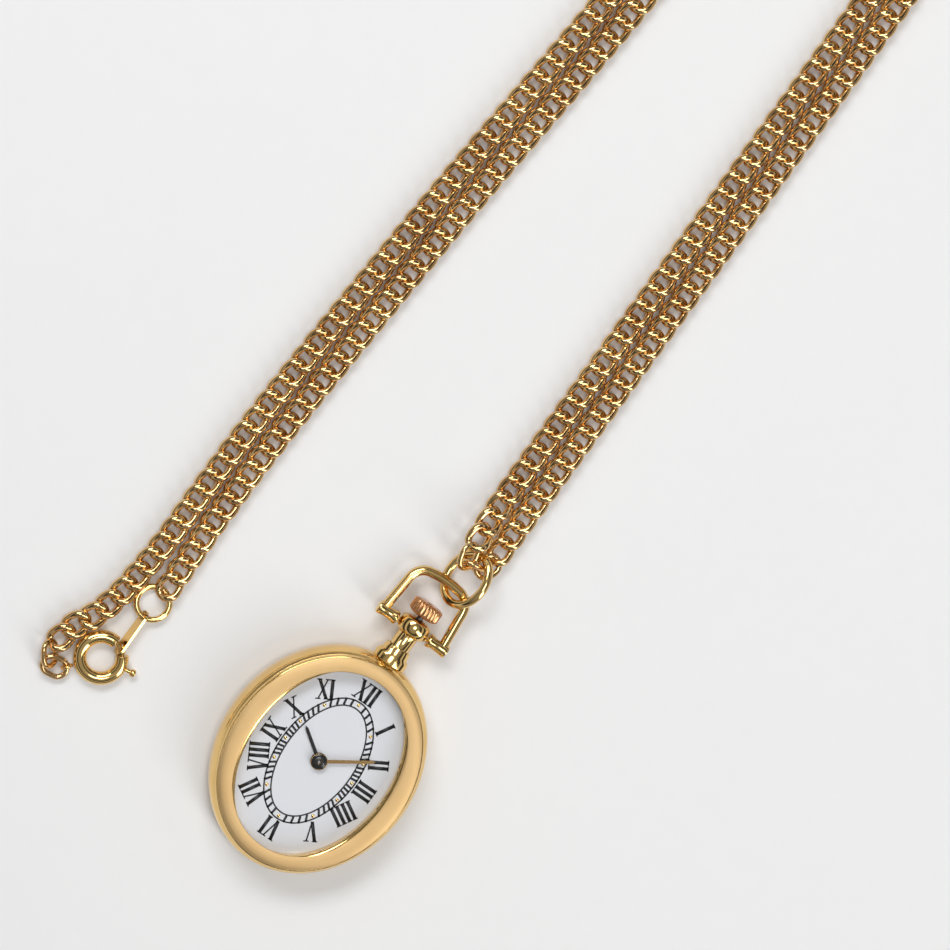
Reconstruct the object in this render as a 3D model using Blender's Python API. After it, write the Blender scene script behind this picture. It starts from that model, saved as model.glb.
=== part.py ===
"""An oval pendant watch on a doubled curb chain, as separate pieces that fit and move.

The origin is under the dial's centre, on the case back's flat outer face.
+X points to III, +Y to XII and the crown, +Z out of the dial.
"""
import math

import bmesh
import bpy
from mathutils import Matrix, Vector

MM = 0.001            # all sizes below are in millimetres, and meshes are written in metres
OVAL_POINTS = 48      # points on each oval of the case

# ---------------------------------------------------------------- driving sizes
CASE_HALF_X = 13.55   # case outline, half its width
CASE_HALF_Y = 16.2    # case outline, half its height
OPEN_HALF_X = 9.75    # dial opening in the bezel
OPEN_HALF_Y = 13.55
GAP = 0.03            # between pieces that touch on the real watch
RUN = 0.06            # radial running clearance of shafts

BACK_TOP = 0.42       # levels above the table
CASE_BOTTOM = BACK_TOP + GAP
CASE_TOP = 5.3
BEZEL_HEIGHT = 1.12
DIAL_TOP = 3.97
DIAL_THICK = 0.4
LIP_BOTTOM = DIAL_TOP + GAP
CAVITY_MARGIN = 0.75  # the case's cavity is this much wider than the dial opening
GASKET_STEP = 0.6     # step for the back's gasket, beyond the cavity
GASKET_STEP_TOP = 0.8
LIP_MARGIN = 0.1      # case lip over the dial's edge, beyond the opening

CRYSTAL_BOTTOM = CASE_TOP + 0.05
CRYSTAL_FLANGE_TOP = CASE_TOP + 0.42
CRYSTAL_TOP = CASE_TOP + 0.86
CRYSTAL_DOME = 0.14
FLANGE_MARGIN = 0.25
SEAT_MARGIN = 0.55    # recess under the bezel that holds crystal and gasket

MOVE_HALF_X = 8.2     # movement outline
MOVE_HALF_Y = 9.4
MOVE_FIT = 0.08       # between the movement and its holder
PLATE_BOTTOM = 2.6
PLATE_THICK = 0.4
BRIDGE_BOTTOM = 0.95
BRIDGE_THICK = 0.3
END_SHAKE = 0.05      # between a wheel's face or pivot and the plate beside it
SCREW_HOLE_R = 0.28
SCREW_R = 0.24
POST_R = 0.5
WHEEL_THICK = 0.15    # train wheels
MOTION_THICK = 0.17   # wheels under the dial
BATTERY_R = 2.9
BATTERY_INSET = 0.448    # between the battery and the movement's edge
BATTERY_SPOKE = 36.5     # degrees from +X on the movement's oval
COIL_R = 0.66
COIL_HALF_LENGTH = 2.5
COIL_FROM_ROTOR = 2.7
STATOR_HALF_X = 3.9
POCKET_MARGIN = 0.1   # the holder's pockets round a piece at the movement's edge
STEM_Z = 2.9          # height of the stem, the pendant and the bow's pivot

TRAIN_MODULE = 0.08
MOTOR_MODULE = 0.07
MOTION_MODULE = 0.1
CENTER_TEETH = 60
INTERMEDIATE_PINION_TEETH = 6
INTERMEDIATE_TEETH = 54
ROTOR_TEETH = 6
CANNON_TEETH = 10
MINUTE_WHEEL_TEETH = 30
MINUTE_PINION_TEETH = 8
HOUR_TEETH = 32
SETTING_TEETH = 15
CLUTCH_TEETH = 10

ARBOR_R = 0.25
CANNON_R = 0.3
HOUR_PIPE_R = 0.55
PIVOT_R = 0.11
HUB_R = 1.13
HAND_WIDTH = 0.42
HOUR_HAND_LENGTH = 5.1
MINUTE_HAND_LENGTH = 7.5
HOUR_HAND_ANGLE = 304.7    # clockwise from XII, for nine minutes past ten
MINUTE_HAND_ANGLE = 56.0
HAND_THICK = 0.12
HOUR_HAND_Z = 4.2
MINUTE_HAND_Z = 4.5

FOOT_LENGTH = 2.1     # pendant: foot block, neck, barrel head
FOOT_HALF_WIDE = 2.4
FOOT_HALF_NARROW = 1.75
NECK_LENGTH = 2.1
NECK_R = 1.45
HEAD_LENGTH = 2.4
HEAD_R = 2.25
SLEEVE_R = 0.9
SLEEVE_BORE = 0.62
STEM_R = 0.45
STEM_SQUARE_R = 0.28
CROWN_TRAVEL = 0.5    # how far the crown pulls out
CROWN_GAP = CROWN_TRAVEL + 0.1    # bare stem under the crown, which is pulled out
CROWN_LENGTH = 1.95
CROWN_R = 2.15
CROWN_FLUTES = 22
FLUTE_DEPTH = 0.13
CROWN_CAP = 0.75      # metal over the stem in the crown
GROOVE_FROM_SHOULDER = 0.82    # from the stem's shoulder to the setting lever's groove
LEVER_THICK = 0.3
LEVER_HALF_WIDE = 1.0
LEVER_FORK_HALF = 0.34
LEVER_BOTTOM = 1.5
LEVER_TOP = 3.3
GROOVE_R = 0.31
CLUTCH_LENGTH = 1.0
CLUTCH_SLIDE = 1.0    # room for the sliding pinion along the stem

BOW_WIRE_R = 0.68
BOW_FOOT_R = 0.95
BOW_HALF_FOOT = 5.6   # from the centre to a foot's outer end
BOW_HALF_LEG = 4.75
BOW_HALF_SHOULDER = 4.1
BOW_SHOULDER = 7.3    # from the pivot to the shoulders' corner
BOW_ARCH = 7.85       # corner of the arch's path, which its fillet rounds off
BOW_ARCH_AXIS = 7.74  # centre line of the arch, which the oval ring hangs on
BOW_SLOPE = 4.6       # degrees that the lying bow slopes down
BOW_PIN_R = 0.35

RING_WIRE_R = 0.6
RING_HALF_LONG = 3.65
RING_HALF_WIDE = 2.95
RING_TILT = 41.0
RING_X = 2.0
RING_FROM_PIVOT = 9.45

LINK_WIRE_R = 0.4
LINK_LENGTH = 4.2
LINK_WIDTH = 3.4
END_LINK_LENGTH = 4.16
END_LINK_WIDTH = 3.26
END_LINK_WIRE_R = 0.38
STRAND_R = 1.75
STRAND_Z = STRAND_R + 0.01

OUTER_END_X = -36.85   # where the outer strand ends, beside the spring ring
CLASP_FROM_STRAND = 0.3
CLASP_Y = -5.5
CLASP_R = 2.8         # centre line of the spring ring's tube
CLASP_TUBE_R = 0.9
CLASP_BORE_R = 0.56
TONGUE_R = 0.4
MOUTH_FROM = 39.0     # degrees from +X, the gap that the tongue closes
MOUTH_TO = 81.0
TRIGGER_ANGLE = 8.0
TONGUE_SWING = 40.0
SLOT_MARGIN = 8.0     # degrees of slot past the trigger at each end of its swing
SLOT_DEPTH = 0.66     # from the tube's centre line out to the middle of the slot
TRIGGER_REACH = 1.45  # from the tube's outside to the knob's end
TRIGGER_NECK_R = 0.3
TRIGGER_KNOB_R = 0.55
TRIGGER_SLOT_R = 0.42
SPRING_R = 0.42       # the coil spring, as a plain rod
EYELET_R = 0.68
EYELET_WIRE_R = 0.22
EYELET_SPOKE = 230.0  # degrees from +X, where the eyelet is soldered on
TAB_LENGTH = 5.2      # between the tab's two holes
TAB_THICK = 0.34
TAB_TURN = -70.0      # the tab stands nearly on edge
TAB_WIDE_R = 1.0
TAB_NARROW_R = 0.85
TAB_WIDE_HOLE_R = 0.73
TAB_NARROW_HOLE_R = 0.57
TAB_Z = 1.02
JUMP_R = 2.2          # centre line of the jump ring
JUMP_WIRE_R = 0.42
JUMP_TILT = -6.5
JUMP_DROP = 0.24

# ---------------------------------------------------------------- derived places
CAVITY_X = OPEN_HALF_X + CAVITY_MARGIN
CAVITY_Y = OPEN_HALF_Y + CAVITY_MARGIN
FOOT_TOP = CASE_HALF_Y + FOOT_LENGTH
HEAD_START = FOOT_TOP + NECK_LENGTH
HEAD_TOP = HEAD_START + HEAD_LENGTH
PIVOT_Y = HEAD_START + 0.9
CROWN_START = HEAD_TOP + CROWN_GAP
PLATE_TOP = PLATE_BOTTOM + PLATE_THICK
DIAL_BOTTOM = DIAL_TOP - DIAL_THICK
MINUTE_WHEEL_Y = MOTION_MODULE * (CANNON_TEETH + MINUTE_WHEEL_TEETH) / 2
SETTING_WHEEL_Y = MINUTE_WHEEL_Y + MOTION_MODULE * (MINUTE_WHEEL_TEETH + SETTING_TEETH) / 2
INTERMEDIATE_Y = -TRAIN_MODULE * (CENTER_TEETH + INTERMEDIATE_PINION_TEETH) / 2
ROTOR_Y = INTERMEDIATE_Y - MOTOR_MODULE * (INTERMEDIATE_TEETH + ROTOR_TEETH) / 2
CLUTCH_START = SETTING_WHEEL_Y + MOTION_MODULE * (SETTING_TEETH / 2 + 0.9) + 0.04
STEM_END = CLUTCH_START + 0.65
STEM_SHOULDER = CLUTCH_START + CLUTCH_LENGTH + CLUTCH_SLIDE + 0.1
GROOVE_START = STEM_SHOULDER + GROOVE_FROM_SHOULDER
LEVER_START = GROOVE_START + 0.05
BATTERY_X = (MOVE_HALF_X - BATTERY_R - BATTERY_INSET) * math.cos(math.radians(BATTERY_SPOKE))
BATTERY_Y = (MOVE_HALF_Y - BATTERY_R - BATTERY_INSET) * math.sin(math.radians(BATTERY_SPOKE))
COIL_Y = ROTOR_Y - COIL_FROM_ROTOR
CENTER_WHEEL_Z = PLATE_BOTTOM - 0.4
INTERMEDIATE_Z = CENTER_WHEEL_Z - 0.35
MAGNET_Z = INTERMEDIATE_Z - 0.51
MAGNET_TOP = INTERMEDIATE_Z - 0.09
PIVOT_BOTTOM = BRIDGE_BOTTOM + END_SHAKE
PIVOT_TOP = PLATE_TOP - END_SHAKE
MOTION_Z = PLATE_TOP + END_SHAKE
HOUR_WHEEL_Z = MOTION_Z + MOTION_THICK + 0.06
HOUR_WHEEL_TOP = HOUR_WHEEL_Z + MOTION_THICK
CLASP_X = OUTER_END_X + STRAND_R + CLASP_FROM_STRAND + CLASP_R + CLASP_TUBE_R
CLASP_Z = CLASP_TUBE_R + 0.02
EYELET_AWAY = CLASP_R + CLASP_TUBE_R + GAP + EYELET_WIRE_R + EYELET_R
EYELET_X = CLASP_X + EYELET_AWAY * math.cos(math.radians(EYELET_SPOKE))
EYELET_Y = CLASP_Y + EYELET_AWAY * math.sin(math.radians(EYELET_SPOKE))
RING_Y = PIVOT_Y + RING_FROM_PIVOT
RING_Z = RING_WIRE_R + 0.02 + RING_HALF_WIDE * math.sin(math.radians(RING_TILT))

ALONG_Y = Matrix.Translation((0, 0, STEM_Z)) @ Matrix.Rotation(math.radians(-90), 4, "X")


# ---------------------------------------------------------------- helpers
def clear_scene():
    for thing in list(bpy.data.objects):
        bpy.data.objects.remove(thing, do_unlink=True)


def material(name, colour, metallic, roughness):
    finish = bpy.data.materials.new(name)
    finish.use_nodes = True
    shader = finish.node_tree.nodes["Principled BSDF"]
    shader.inputs["Base Color"].default_value = (*colour, 1.0)
    shader.inputs["Metallic"].default_value = metallic
    shader.inputs["Roughness"].default_value = roughness
    finish.diffuse_color = (*colour, 1.0)
    return finish


def body(name, origin, parent=None):
    """An empty on a moving body's joint; its pieces are parented to it."""
    empty = bpy.data.objects.new(name, None)
    bpy.context.scene.collection.objects.link(empty)
    place = Vector(origin) * MM
    empty["place"] = place
    if parent:
        empty.parent = parent
        place = place - Vector(parent["place"])
    empty.location = place
    return empty


def add_piece(name, mesh_mm, finish, owner):
    """Writes a mesh in millimetres and world places as an object with its owner's origin."""
    bmesh.ops.remove_doubles(mesh_mm, verts=mesh_mm.verts, dist=1e-5)
    bmesh.ops.dissolve_degenerate(mesh_mm, dist=1e-6, edges=mesh_mm.edges)
    bmesh.ops.recalc_face_normals(mesh_mm, faces=mesh_mm.faces)
    mesh_mm.transform(Matrix.Scale(MM, 4))
    mesh_mm.transform(Matrix.Translation(-Vector(owner["place"])))
    mesh = bpy.data.meshes.new(name)
    mesh_mm.to_mesh(mesh)
    mesh_mm.free()
    mesh.materials.append(finish)
    mesh.shade_smooth()
    mesh.set_sharp_from_angle(angle=math.radians(32))
    piece = bpy.data.objects.new(name, mesh)
    bpy.context.scene.collection.objects.link(piece)
    piece.parent = owner
    return piece


def boolean(piece, tool, operation):
    """A live Boolean with a hidden tool object."""
    tool.hide_render = True
    tool.display_type = "WIRE"
    step = piece.modifiers.new(tool.name, "BOOLEAN")
    step.operation = operation
    step.solver = "EXACT"
    step.object = tool


def circle(radius, count, x=0.0, y=0.0):
    turn = 2 * math.pi / count
    return [(x + radius * math.cos(k * turn), y + radius * math.sin(k * turn)) for k in range(count)]


def oval(half_x, half_y, count=OVAL_POINTS):
    turn = 2 * math.pi / count
    return [(half_x * math.cos(k * turn), half_y * math.sin(k * turn)) for k in range(count)]


def gear(teeth, module, tooth_at=0.0, y=0.0):
    """A wheel's outline with trapezoid teeth, one of them centred at the angle tooth_at."""
    pitch = 2 * math.pi / teeth
    tip = module * (teeth / 2 + 0.9)
    root = module * (teeth / 2 - 1.15)
    points = []
    for tooth in range(teeth):
        middle = tooth_at + tooth * pitch
        for radius, share in ((root, -0.32), (tip, -0.12), (tip, 0.12), (root, 0.32)):
            angle = middle + share * pitch
            points.append((radius * math.cos(angle), y + radius * math.sin(angle)))
    return points


def add_loop(mesh_mm, outline, z):
    verts = [mesh_mm.verts.new((x, y, z)) for x, y in outline]
    edges = [mesh_mm.edges.new((a, b)) for a, b in zip(verts, verts[1:] + verts[:1])]
    return verts, edges


def add_wall(mesh_mm, low, high):
    count = len(low)
    for k in range(count):
        mesh_mm.faces.new((low[k], low[(k + 1) % count], high[(k + 1) % count], high[k]))


def fill(mesh_mm, edges):
    bmesh.ops.triangle_fill(mesh_mm, use_beauty=True, use_dissolve=False, edges=edges)


def stack(sections, bores=()):
    """A solid of outlines stacked along Z, each (outline, from, to), with bores that go
    through it, or are blind where they end inside it. A bore starts at the bottom."""
    mesh_mm = bmesh.new()
    below = []
    for outline, low_z, high_z in sections:
        low, low_edges = add_loop(mesh_mm, outline, low_z)
        high, high_edges = add_loop(mesh_mm, outline, high_z)
        add_wall(mesh_mm, low, high)
        if below:
            fill(mesh_mm, below + low_edges)
        else:
            bottom = low_edges
        below = high_edges
    end_z = sections[-1][2]
    for outline, low_z, high_z in bores:
        low, low_edges = add_loop(mesh_mm, outline, low_z)
        high, high_edges = add_loop(mesh_mm, outline, high_z)
        add_wall(mesh_mm, low, high)
        bottom = bottom + low_edges
        if high_z < end_z - 1e-6:
            fill(mesh_mm, high_edges)
        else:
            below = below + high_edges
    fill(mesh_mm, bottom)
    fill(mesh_mm, below)
    return mesh_mm


def turned(profile, count=32):
    """A profile of (radius, height) points turned about Z; it closes on itself."""
    mesh_mm = bmesh.new()
    verts = [mesh_mm.verts.new((radius, 0, height)) for radius, height in profile]
    edges = [mesh_mm.edges.new((a, b)) for a, b in zip(verts, verts[1:] + verts[:1])]
    on_axis = [e for e in edges if max(abs(v.co.x) for v in e.verts) < 1e-9]
    bmesh.ops.delete(mesh_mm, geom=on_axis, context="EDGES_FACES")
    bmesh.ops.spin(mesh_mm, geom=mesh_mm.verts[:] + mesh_mm.edges[:], cent=(0, 0, 0), axis=(0, 0, 1),
                   angle=2 * math.pi, steps=count, use_merge=True)
    bmesh.ops.remove_doubles(mesh_mm, verts=mesh_mm.verts, dist=1e-5)
    return mesh_mm


def oval_loft(sections, count=OVAL_POINTS):
    """Ovals (half_x, half_y, z) joined one to the next and the last to the first: a ring."""
    mesh_mm = bmesh.new()
    loops = [add_loop(mesh_mm, oval(half_x, half_y, count), z)[0] for half_x, half_y, z in sections]
    for low, high in zip(loops, loops[1:] + loops[:1]):
        add_wall(mesh_mm, low, high)
    return mesh_mm


def oval_lid(sections, count=OVAL_POINTS):
    """Ovals joined one to the next, with a flat face on the first and on the last."""
    mesh_mm = bmesh.new()
    loops = [add_loop(mesh_mm, oval(half_x, half_y, count), z)[0] for half_x, half_y, z in sections]
    for low, high in zip(loops, loops[1:]):
        add_wall(mesh_mm, low, high)
    mesh_mm.faces.new(loops[0])
    mesh_mm.faces.new(loops[-1])
    return mesh_mm


def wire(path, radius, sides=10, closed=True, bore=0.0):
    """A round wire, or a tube with a bore, along a path in the XY plane."""
    mesh_mm = bmesh.new()
    count = len(path)
    points = [Vector((x, y, 0)) for x, y in path]
    rings = []
    for k, here in enumerate(points):
        ahead = points[(k + 1) % count] if closed or k < count - 1 else here
        behind = points[k - 1] if closed or k else here
        side = (ahead - behind).normalized().cross(Vector((0, 0, 1)))
        ring = []
        for size in (radius, bore) if bore else (radius,):
            for s in range(sides):
                turn = 2 * math.pi * s / sides
                offset = side * math.cos(turn) + Vector((0, 0, 1)) * math.sin(turn)
                ring.append(mesh_mm.verts.new(here + offset * size))
        rings.append(ring)
    pairs = list(zip(rings, rings[1:]))
    if closed:
        pairs.append((rings[-1], rings[0]))
    for low, high in pairs:
        add_wall(mesh_mm, low[:sides], high[:sides])
        if bore:
            add_wall(mesh_mm, low[sides:], high[sides:])
    if not closed:
        for ring in (rings[0], rings[-1]):
            if bore:
                add_wall(mesh_mm, ring[:sides], ring[sides:])
            else:
                mesh_mm.faces.new(ring)
    return mesh_mm


def arc(radius, start, end, count):
    """Points on an arc about the origin, in degrees from +X."""
    step = (end - start) / (count - 1)
    angles = [math.radians(start + k * step) for k in range(count)]
    return [(radius * math.cos(a), radius * math.sin(a)) for a in angles]


def link_path(length, width, wire_r, count=24):
    """The centre line of a chain link, long along X, with round ends."""
    half_width = width / 2 - wire_r
    straight = (length - width) / 2
    points = []
    for k in range(count):
        angle = 2 * math.pi * k / count
        run = straight * math.tanh(6 * math.cos(angle))
        points.append((half_width * math.cos(angle) + run, half_width * math.sin(angle)))
    return points


def fillet_path(corners, radii, steps=6):
    """An open path with each inner corner rounded to its radius."""
    points = [Vector(corners[0])]
    for k, radius in enumerate(radii, start=1):
        here, behind, ahead = (Vector(corners[k + d]) for d in (0, -1, 1))
        back, forth = (behind - here).normalized(), (ahead - here).normalized()
        half = back.angle(forth) / 2
        centre = here + (back + forth).normalized() * (radius / math.sin(half))
        start = here + back * (radius / math.tan(half)) - centre
        end = here + forth * (radius / math.tan(half)) - centre
        for s in range(steps + 1):
            spoke = start.lerp(end, s / steps).normalized() * radius
            points.append(centre + spoke)
    points.append(Vector(corners[-1]))
    return [(p.x, p.y) for p in points]


def euler(degrees_x, degrees_y, degrees_z):
    turn_x = Matrix.Rotation(math.radians(degrees_x), 4, "X")
    turn_y = Matrix.Rotation(math.radians(degrees_y), 4, "Y")
    turn_z = Matrix.Rotation(math.radians(degrees_z), 4, "Z")
    return turn_z @ turn_y @ turn_x


def placed(mesh_mm, matrix):
    mesh_mm.transform(matrix)
    return mesh_mm


# ---------------------------------------------------------------- case
def case_outline(inset, z):
    return (CASE_HALF_X - inset, CASE_HALF_Y - inset, z)


def opening(margin, z):
    return (OPEN_HALF_X + margin, OPEN_HALF_Y + margin, z)


def make_case(case, finishes):
    shell = oval_loft([
        case_outline(0.95, CASE_BOTTOM), case_outline(0.36, 1.0), case_outline(0.07, 1.9),
        case_outline(0.0, 2.9), case_outline(0.06, 3.8), case_outline(0.3, 4.7),
        case_outline(0.75, CASE_TOP), opening(LIP_MARGIN, CASE_TOP), opening(LIP_MARGIN, LIP_BOTTOM),
        opening(CAVITY_MARGIN, LIP_BOTTOM), opening(CAVITY_MARGIN, GASKET_STEP_TOP),
        opening(CAVITY_MARGIN + GASKET_STEP, GASKET_STEP_TOP),
        opening(CAVITY_MARGIN + GASKET_STEP, CASE_BOTTOM)])
    case_body = add_piece("case_body", shell, finishes["gold"], case)
    drill = placed(stack([(circle(SLEEVE_R + GAP, 20), CAVITY_Y - 1.0, CASE_HALF_Y + 1.0)]), ALONG_Y)
    boolean(case_body, add_piece("case_drill", drill, finishes["tool"], case), "DIFFERENCE")

    bezel_top = CASE_TOP + BEZEL_HEIGHT
    bezel = oval_loft([
        case_outline(0.75, CASE_TOP + GAP), case_outline(0.82, CASE_TOP + 0.45),
        case_outline(1.05, bezel_top - 0.2), case_outline(1.3, bezel_top),
        opening(0.35, bezel_top), opening(0.0, bezel_top - 0.35), opening(0.0, CRYSTAL_FLANGE_TOP + 0.05),
        opening(SEAT_MARGIN, CRYSTAL_FLANGE_TOP + 0.05), opening(SEAT_MARGIN, CASE_TOP + GAP)])
    add_piece("bezel", bezel, finishes["satin"], case)

    crystal = oval_lid([
        opening(FLANGE_MARGIN, CRYSTAL_BOTTOM), opening(FLANGE_MARGIN, CRYSTAL_FLANGE_TOP),
        opening(-0.05, CRYSTAL_FLANGE_TOP), opening(-0.05, CRYSTAL_TOP - 0.06),
        opening(-0.2, CRYSTAL_TOP), opening(-4.0, CRYSTAL_TOP + CRYSTAL_DOME)])
    add_piece("crystal", crystal, finishes["glass"], case)
    gasket = oval_loft([
        opening(FLANGE_MARGIN + GAP, CRYSTAL_BOTTOM), opening(SEAT_MARGIN - GAP, CRYSTAL_BOTTOM),
        opening(SEAT_MARGIN - GAP, CRYSTAL_FLANGE_TOP), opening(FLANGE_MARGIN + GAP, CRYSTAL_FLANGE_TOP)])
    add_piece("crystal_gasket", gasket, finishes["gasket"], case)

    lip_top = 1.0
    back = bmesh.new()
    ovals = [case_outline(1.35, 0.0), case_outline(0.95, 0.14), case_outline(0.88, BACK_TOP),
             opening(CAVITY_MARGIN - GAP, BACK_TOP), opening(CAVITY_MARGIN - GAP, lip_top),
             opening(CAVITY_MARGIN - 0.5, lip_top), opening(CAVITY_MARGIN - 0.5, BACK_TOP)]
    loops = [add_loop(back, oval(half_x, half_y), z)[0] for half_x, half_y, z in ovals]
    for low, high in zip(loops, loops[1:]):
        add_wall(back, low, high)
    back.faces.new(loops[0])
    back.faces.new(loops[-1])
    add_piece("case_back", back, finishes["gold"], case)
    seal = oval_loft([
        opening(CAVITY_MARGIN + 0.05, CASE_BOTTOM), opening(CAVITY_MARGIN + GASKET_STEP - 0.05, CASE_BOTTOM),
        opening(CAVITY_MARGIN + GASKET_STEP - 0.05, GASKET_STEP_TOP - 0.04),
        opening(CAVITY_MARGIN + 0.05, GASKET_STEP_TOP - 0.04)])
    add_piece("case_back_gasket", seal, finishes["gasket"], case)

    dial = stack([(oval(CAVITY_X - 0.1, CAVITY_Y - 0.1), DIAL_BOTTOM, DIAL_TOP)],
                 [(circle(HOUR_PIPE_R + RUN, 24), DIAL_BOTTOM, DIAL_TOP)])
    add_piece("dial", dial, finishes["dial"], case)


# ---------------------------------------------------------------- pendant, sleeve and pins
def make_pendant(case, finishes):
    foot = bmesh.new()
    loops = []
    for half_wide, half_high, along in ((FOOT_HALF_WIDE, 1.75, CASE_HALF_Y - 1.2),
                                        (FOOT_HALF_WIDE, 1.75, CASE_HALF_Y + 0.5),
                                        (FOOT_HALF_NARROW, 1.6, FOOT_TOP)):
        loops.append(add_loop(foot, oval(half_wide, half_high, 28), along)[0])
    for low, high in zip(loops, loops[1:]):
        add_wall(foot, low, high)
    foot.faces.new(loops[0])
    foot.faces.new(loops[-1])
    foot_piece = add_piece("pendant_foot", placed(foot, ALONG_Y), finishes["gold"], case)
    body_cut = oval_lid([case_outline(-GAP, 0.0), case_outline(-GAP, CASE_TOP + 1)])
    boolean(foot_piece, add_piece("foot_saddle_cut", body_cut, finishes["tool"], case), "DIFFERENCE")
    bore = placed(stack([(circle(SLEEVE_R + GAP, 20), CASE_HALF_Y - 2, FOOT_TOP + 1)]), ALONG_Y)
    boolean(foot_piece, add_piece("foot_bore_cut", bore, finishes["tool"], case), "DIFFERENCE")

    inner = SLEEVE_R + GAP
    neck = turned([(inner, FOOT_TOP + GAP), (NECK_R - 0.1, FOOT_TOP + GAP), (NECK_R, FOOT_TOP + 0.15),
                   (NECK_R, HEAD_START - GAP), (inner, HEAD_START - GAP)], 28)
    add_piece("pendant_neck", placed(neck, ALONG_Y), finishes["gold"], case)

    head = turned([(inner, HEAD_START), (1.55, HEAD_START), (2.0, HEAD_START + 0.22),
                   (HEAD_R, HEAD_START + 0.75), (HEAD_R, HEAD_TOP - 0.75), (2.0, HEAD_TOP - 0.22),
                   (1.5, HEAD_TOP), (inner, HEAD_TOP)], 32)
    head_piece = add_piece("pendant_head", placed(head, ALONG_Y), finishes["gold"], case)
    for side, label in ((-1, "left"), (1, "right")):
        along_x = (Matrix.Translation((0, PIVOT_Y, STEM_Z))
                   @ Matrix.Rotation(math.radians(90 * side), 4, "Y"))
        hole = placed(stack([(circle(BOW_PIN_R + GAP, 16), 1.25, HEAD_R + 1)]), along_x)
        boolean(head_piece, add_piece("head_hole_" + label, hole, finishes["tool"], case), "DIFFERENCE")
        pin = turned([(0, 1.3), (BOW_PIN_R, 1.3), (BOW_PIN_R, 4.15), (BOW_PIN_R - 0.08, 4.25), (0, 4.25)], 16)
        add_piece("bow_pin_" + label, placed(pin, along_x), finishes["gold"], case)

    sleeve = turned([(SLEEVE_BORE, CAVITY_Y + 0.1), (SLEEVE_R, CAVITY_Y + 0.1), (SLEEVE_R, HEAD_TOP - 0.1),
                     (SLEEVE_BORE, HEAD_TOP - 0.1)], 20)
    add_piece("stem_sleeve", placed(sleeve, ALONG_Y), finishes["brass"], case)
    seal = turned([(STEM_R + GAP, FOOT_TOP - 0.3), (SLEEVE_BORE - GAP, FOOT_TOP - 0.3),
                   (SLEEVE_BORE - GAP, FOOT_TOP), (STEM_R + GAP, FOOT_TOP)], 20)
    add_piece("stem_gasket", placed(seal, ALONG_Y), finishes["gasket"], case)


# ---------------------------------------------------------------- crown, stem, setting parts
def make_crown(lever_body, crown_body, clutch_body, finishes):
    wide, slit, slit_bottom = LEVER_HALF_WIDE, LEVER_FORK_HALF, STEM_Z - 0.35
    fork = [(-wide, LEVER_BOTTOM), (wide, LEVER_BOTTOM), (wide, LEVER_TOP), (slit, LEVER_TOP),
            (slit, slit_bottom), (-slit, slit_bottom), (-slit, LEVER_TOP), (-wide, LEVER_TOP)]
    outline = [(x, STEM_Z - z) for x, z in fork]
    lever = placed(stack([(outline, LEVER_START, LEVER_START + LEVER_THICK)]), ALONG_Y)
    add_piece("setting_lever", lever, finishes["steel"], lever_body)

    stem_top = CROWN_START + CROWN_LENGTH - CROWN_CAP
    groove_end = GROOVE_START + LEVER_THICK + 0.1
    stem = turned([(0, STEM_END), (STEM_SQUARE_R, STEM_END), (STEM_SQUARE_R, STEM_SHOULDER),
                   (STEM_R, STEM_SHOULDER), (STEM_R, GROOVE_START), (GROOVE_R, GROOVE_START),
                   (GROOVE_R, groove_end), (STEM_R, groove_end), (STEM_R, stem_top), (0, stem_top)], 20)
    add_piece("stem", placed(stem, ALONG_Y), finishes["dark_steel"], crown_body)

    flutes = []
    pitch = 2 * math.pi / CROWN_FLUTES
    for k in range(CROWN_FLUTES):
        for radius, share in ((CROWN_R, 0.0), (CROWN_R, 0.5), (CROWN_R - FLUTE_DEPTH, 0.64),
                              (CROWN_R - FLUTE_DEPTH, 0.86)):
            angle = (k + share) * pitch
            flutes.append((radius * math.cos(angle), radius * math.sin(angle)))
    crown_end = CROWN_START + CROWN_LENGTH
    crown = stack([(circle(CROWN_R - 0.3, 36), CROWN_START, CROWN_START + 0.1),
                   (flutes, CROWN_START + 0.1, crown_end - 0.12),
                   (circle(CROWN_R - 0.32, 36), crown_end - 0.12, crown_end)],
                  [(circle(STEM_R + GAP, 20), CROWN_START, stem_top + GAP)])
    add_piece("crown", placed(crown, ALONG_Y), finishes["copper"], crown_body)

    castle = []
    pitch = 2 * math.pi / CLUTCH_TEETH
    for k in range(CLUTCH_TEETH):
        for radius, share in ((0.58, 0.15), (0.58, 0.45), (0.5, 0.55), (0.5, 1.05)):
            angle = (k + share) * pitch
            castle.append((radius * math.cos(angle), radius * math.sin(angle)))
    clutch_end = CLUTCH_START + CLUTCH_LENGTH
    clutch = stack([(castle, CLUTCH_START, clutch_end)],
                   [(circle(STEM_SQUARE_R + RUN, 12), CLUTCH_START, clutch_end)])
    add_piece("sliding_pinion", placed(clutch, ALONG_Y), finishes["steel"], clutch_body)


# ---------------------------------------------------------------- movement
def slotted_oval(half_x, half_y, slot_half, slot_bottom, count=40):
    """An oval outline with a slot cut down from its top edge, for the stem."""
    edge_angle = math.acos(slot_half / half_x)
    start, end = math.pi - edge_angle, 2 * math.pi + edge_angle
    points = []
    for k in range(count + 1):
        angle = start + (end - start) * k / count
        points.append((half_x * math.cos(angle), half_y * math.sin(angle)))
    points += [(slot_half, slot_bottom), (-slot_half, slot_bottom)]
    return points


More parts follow.
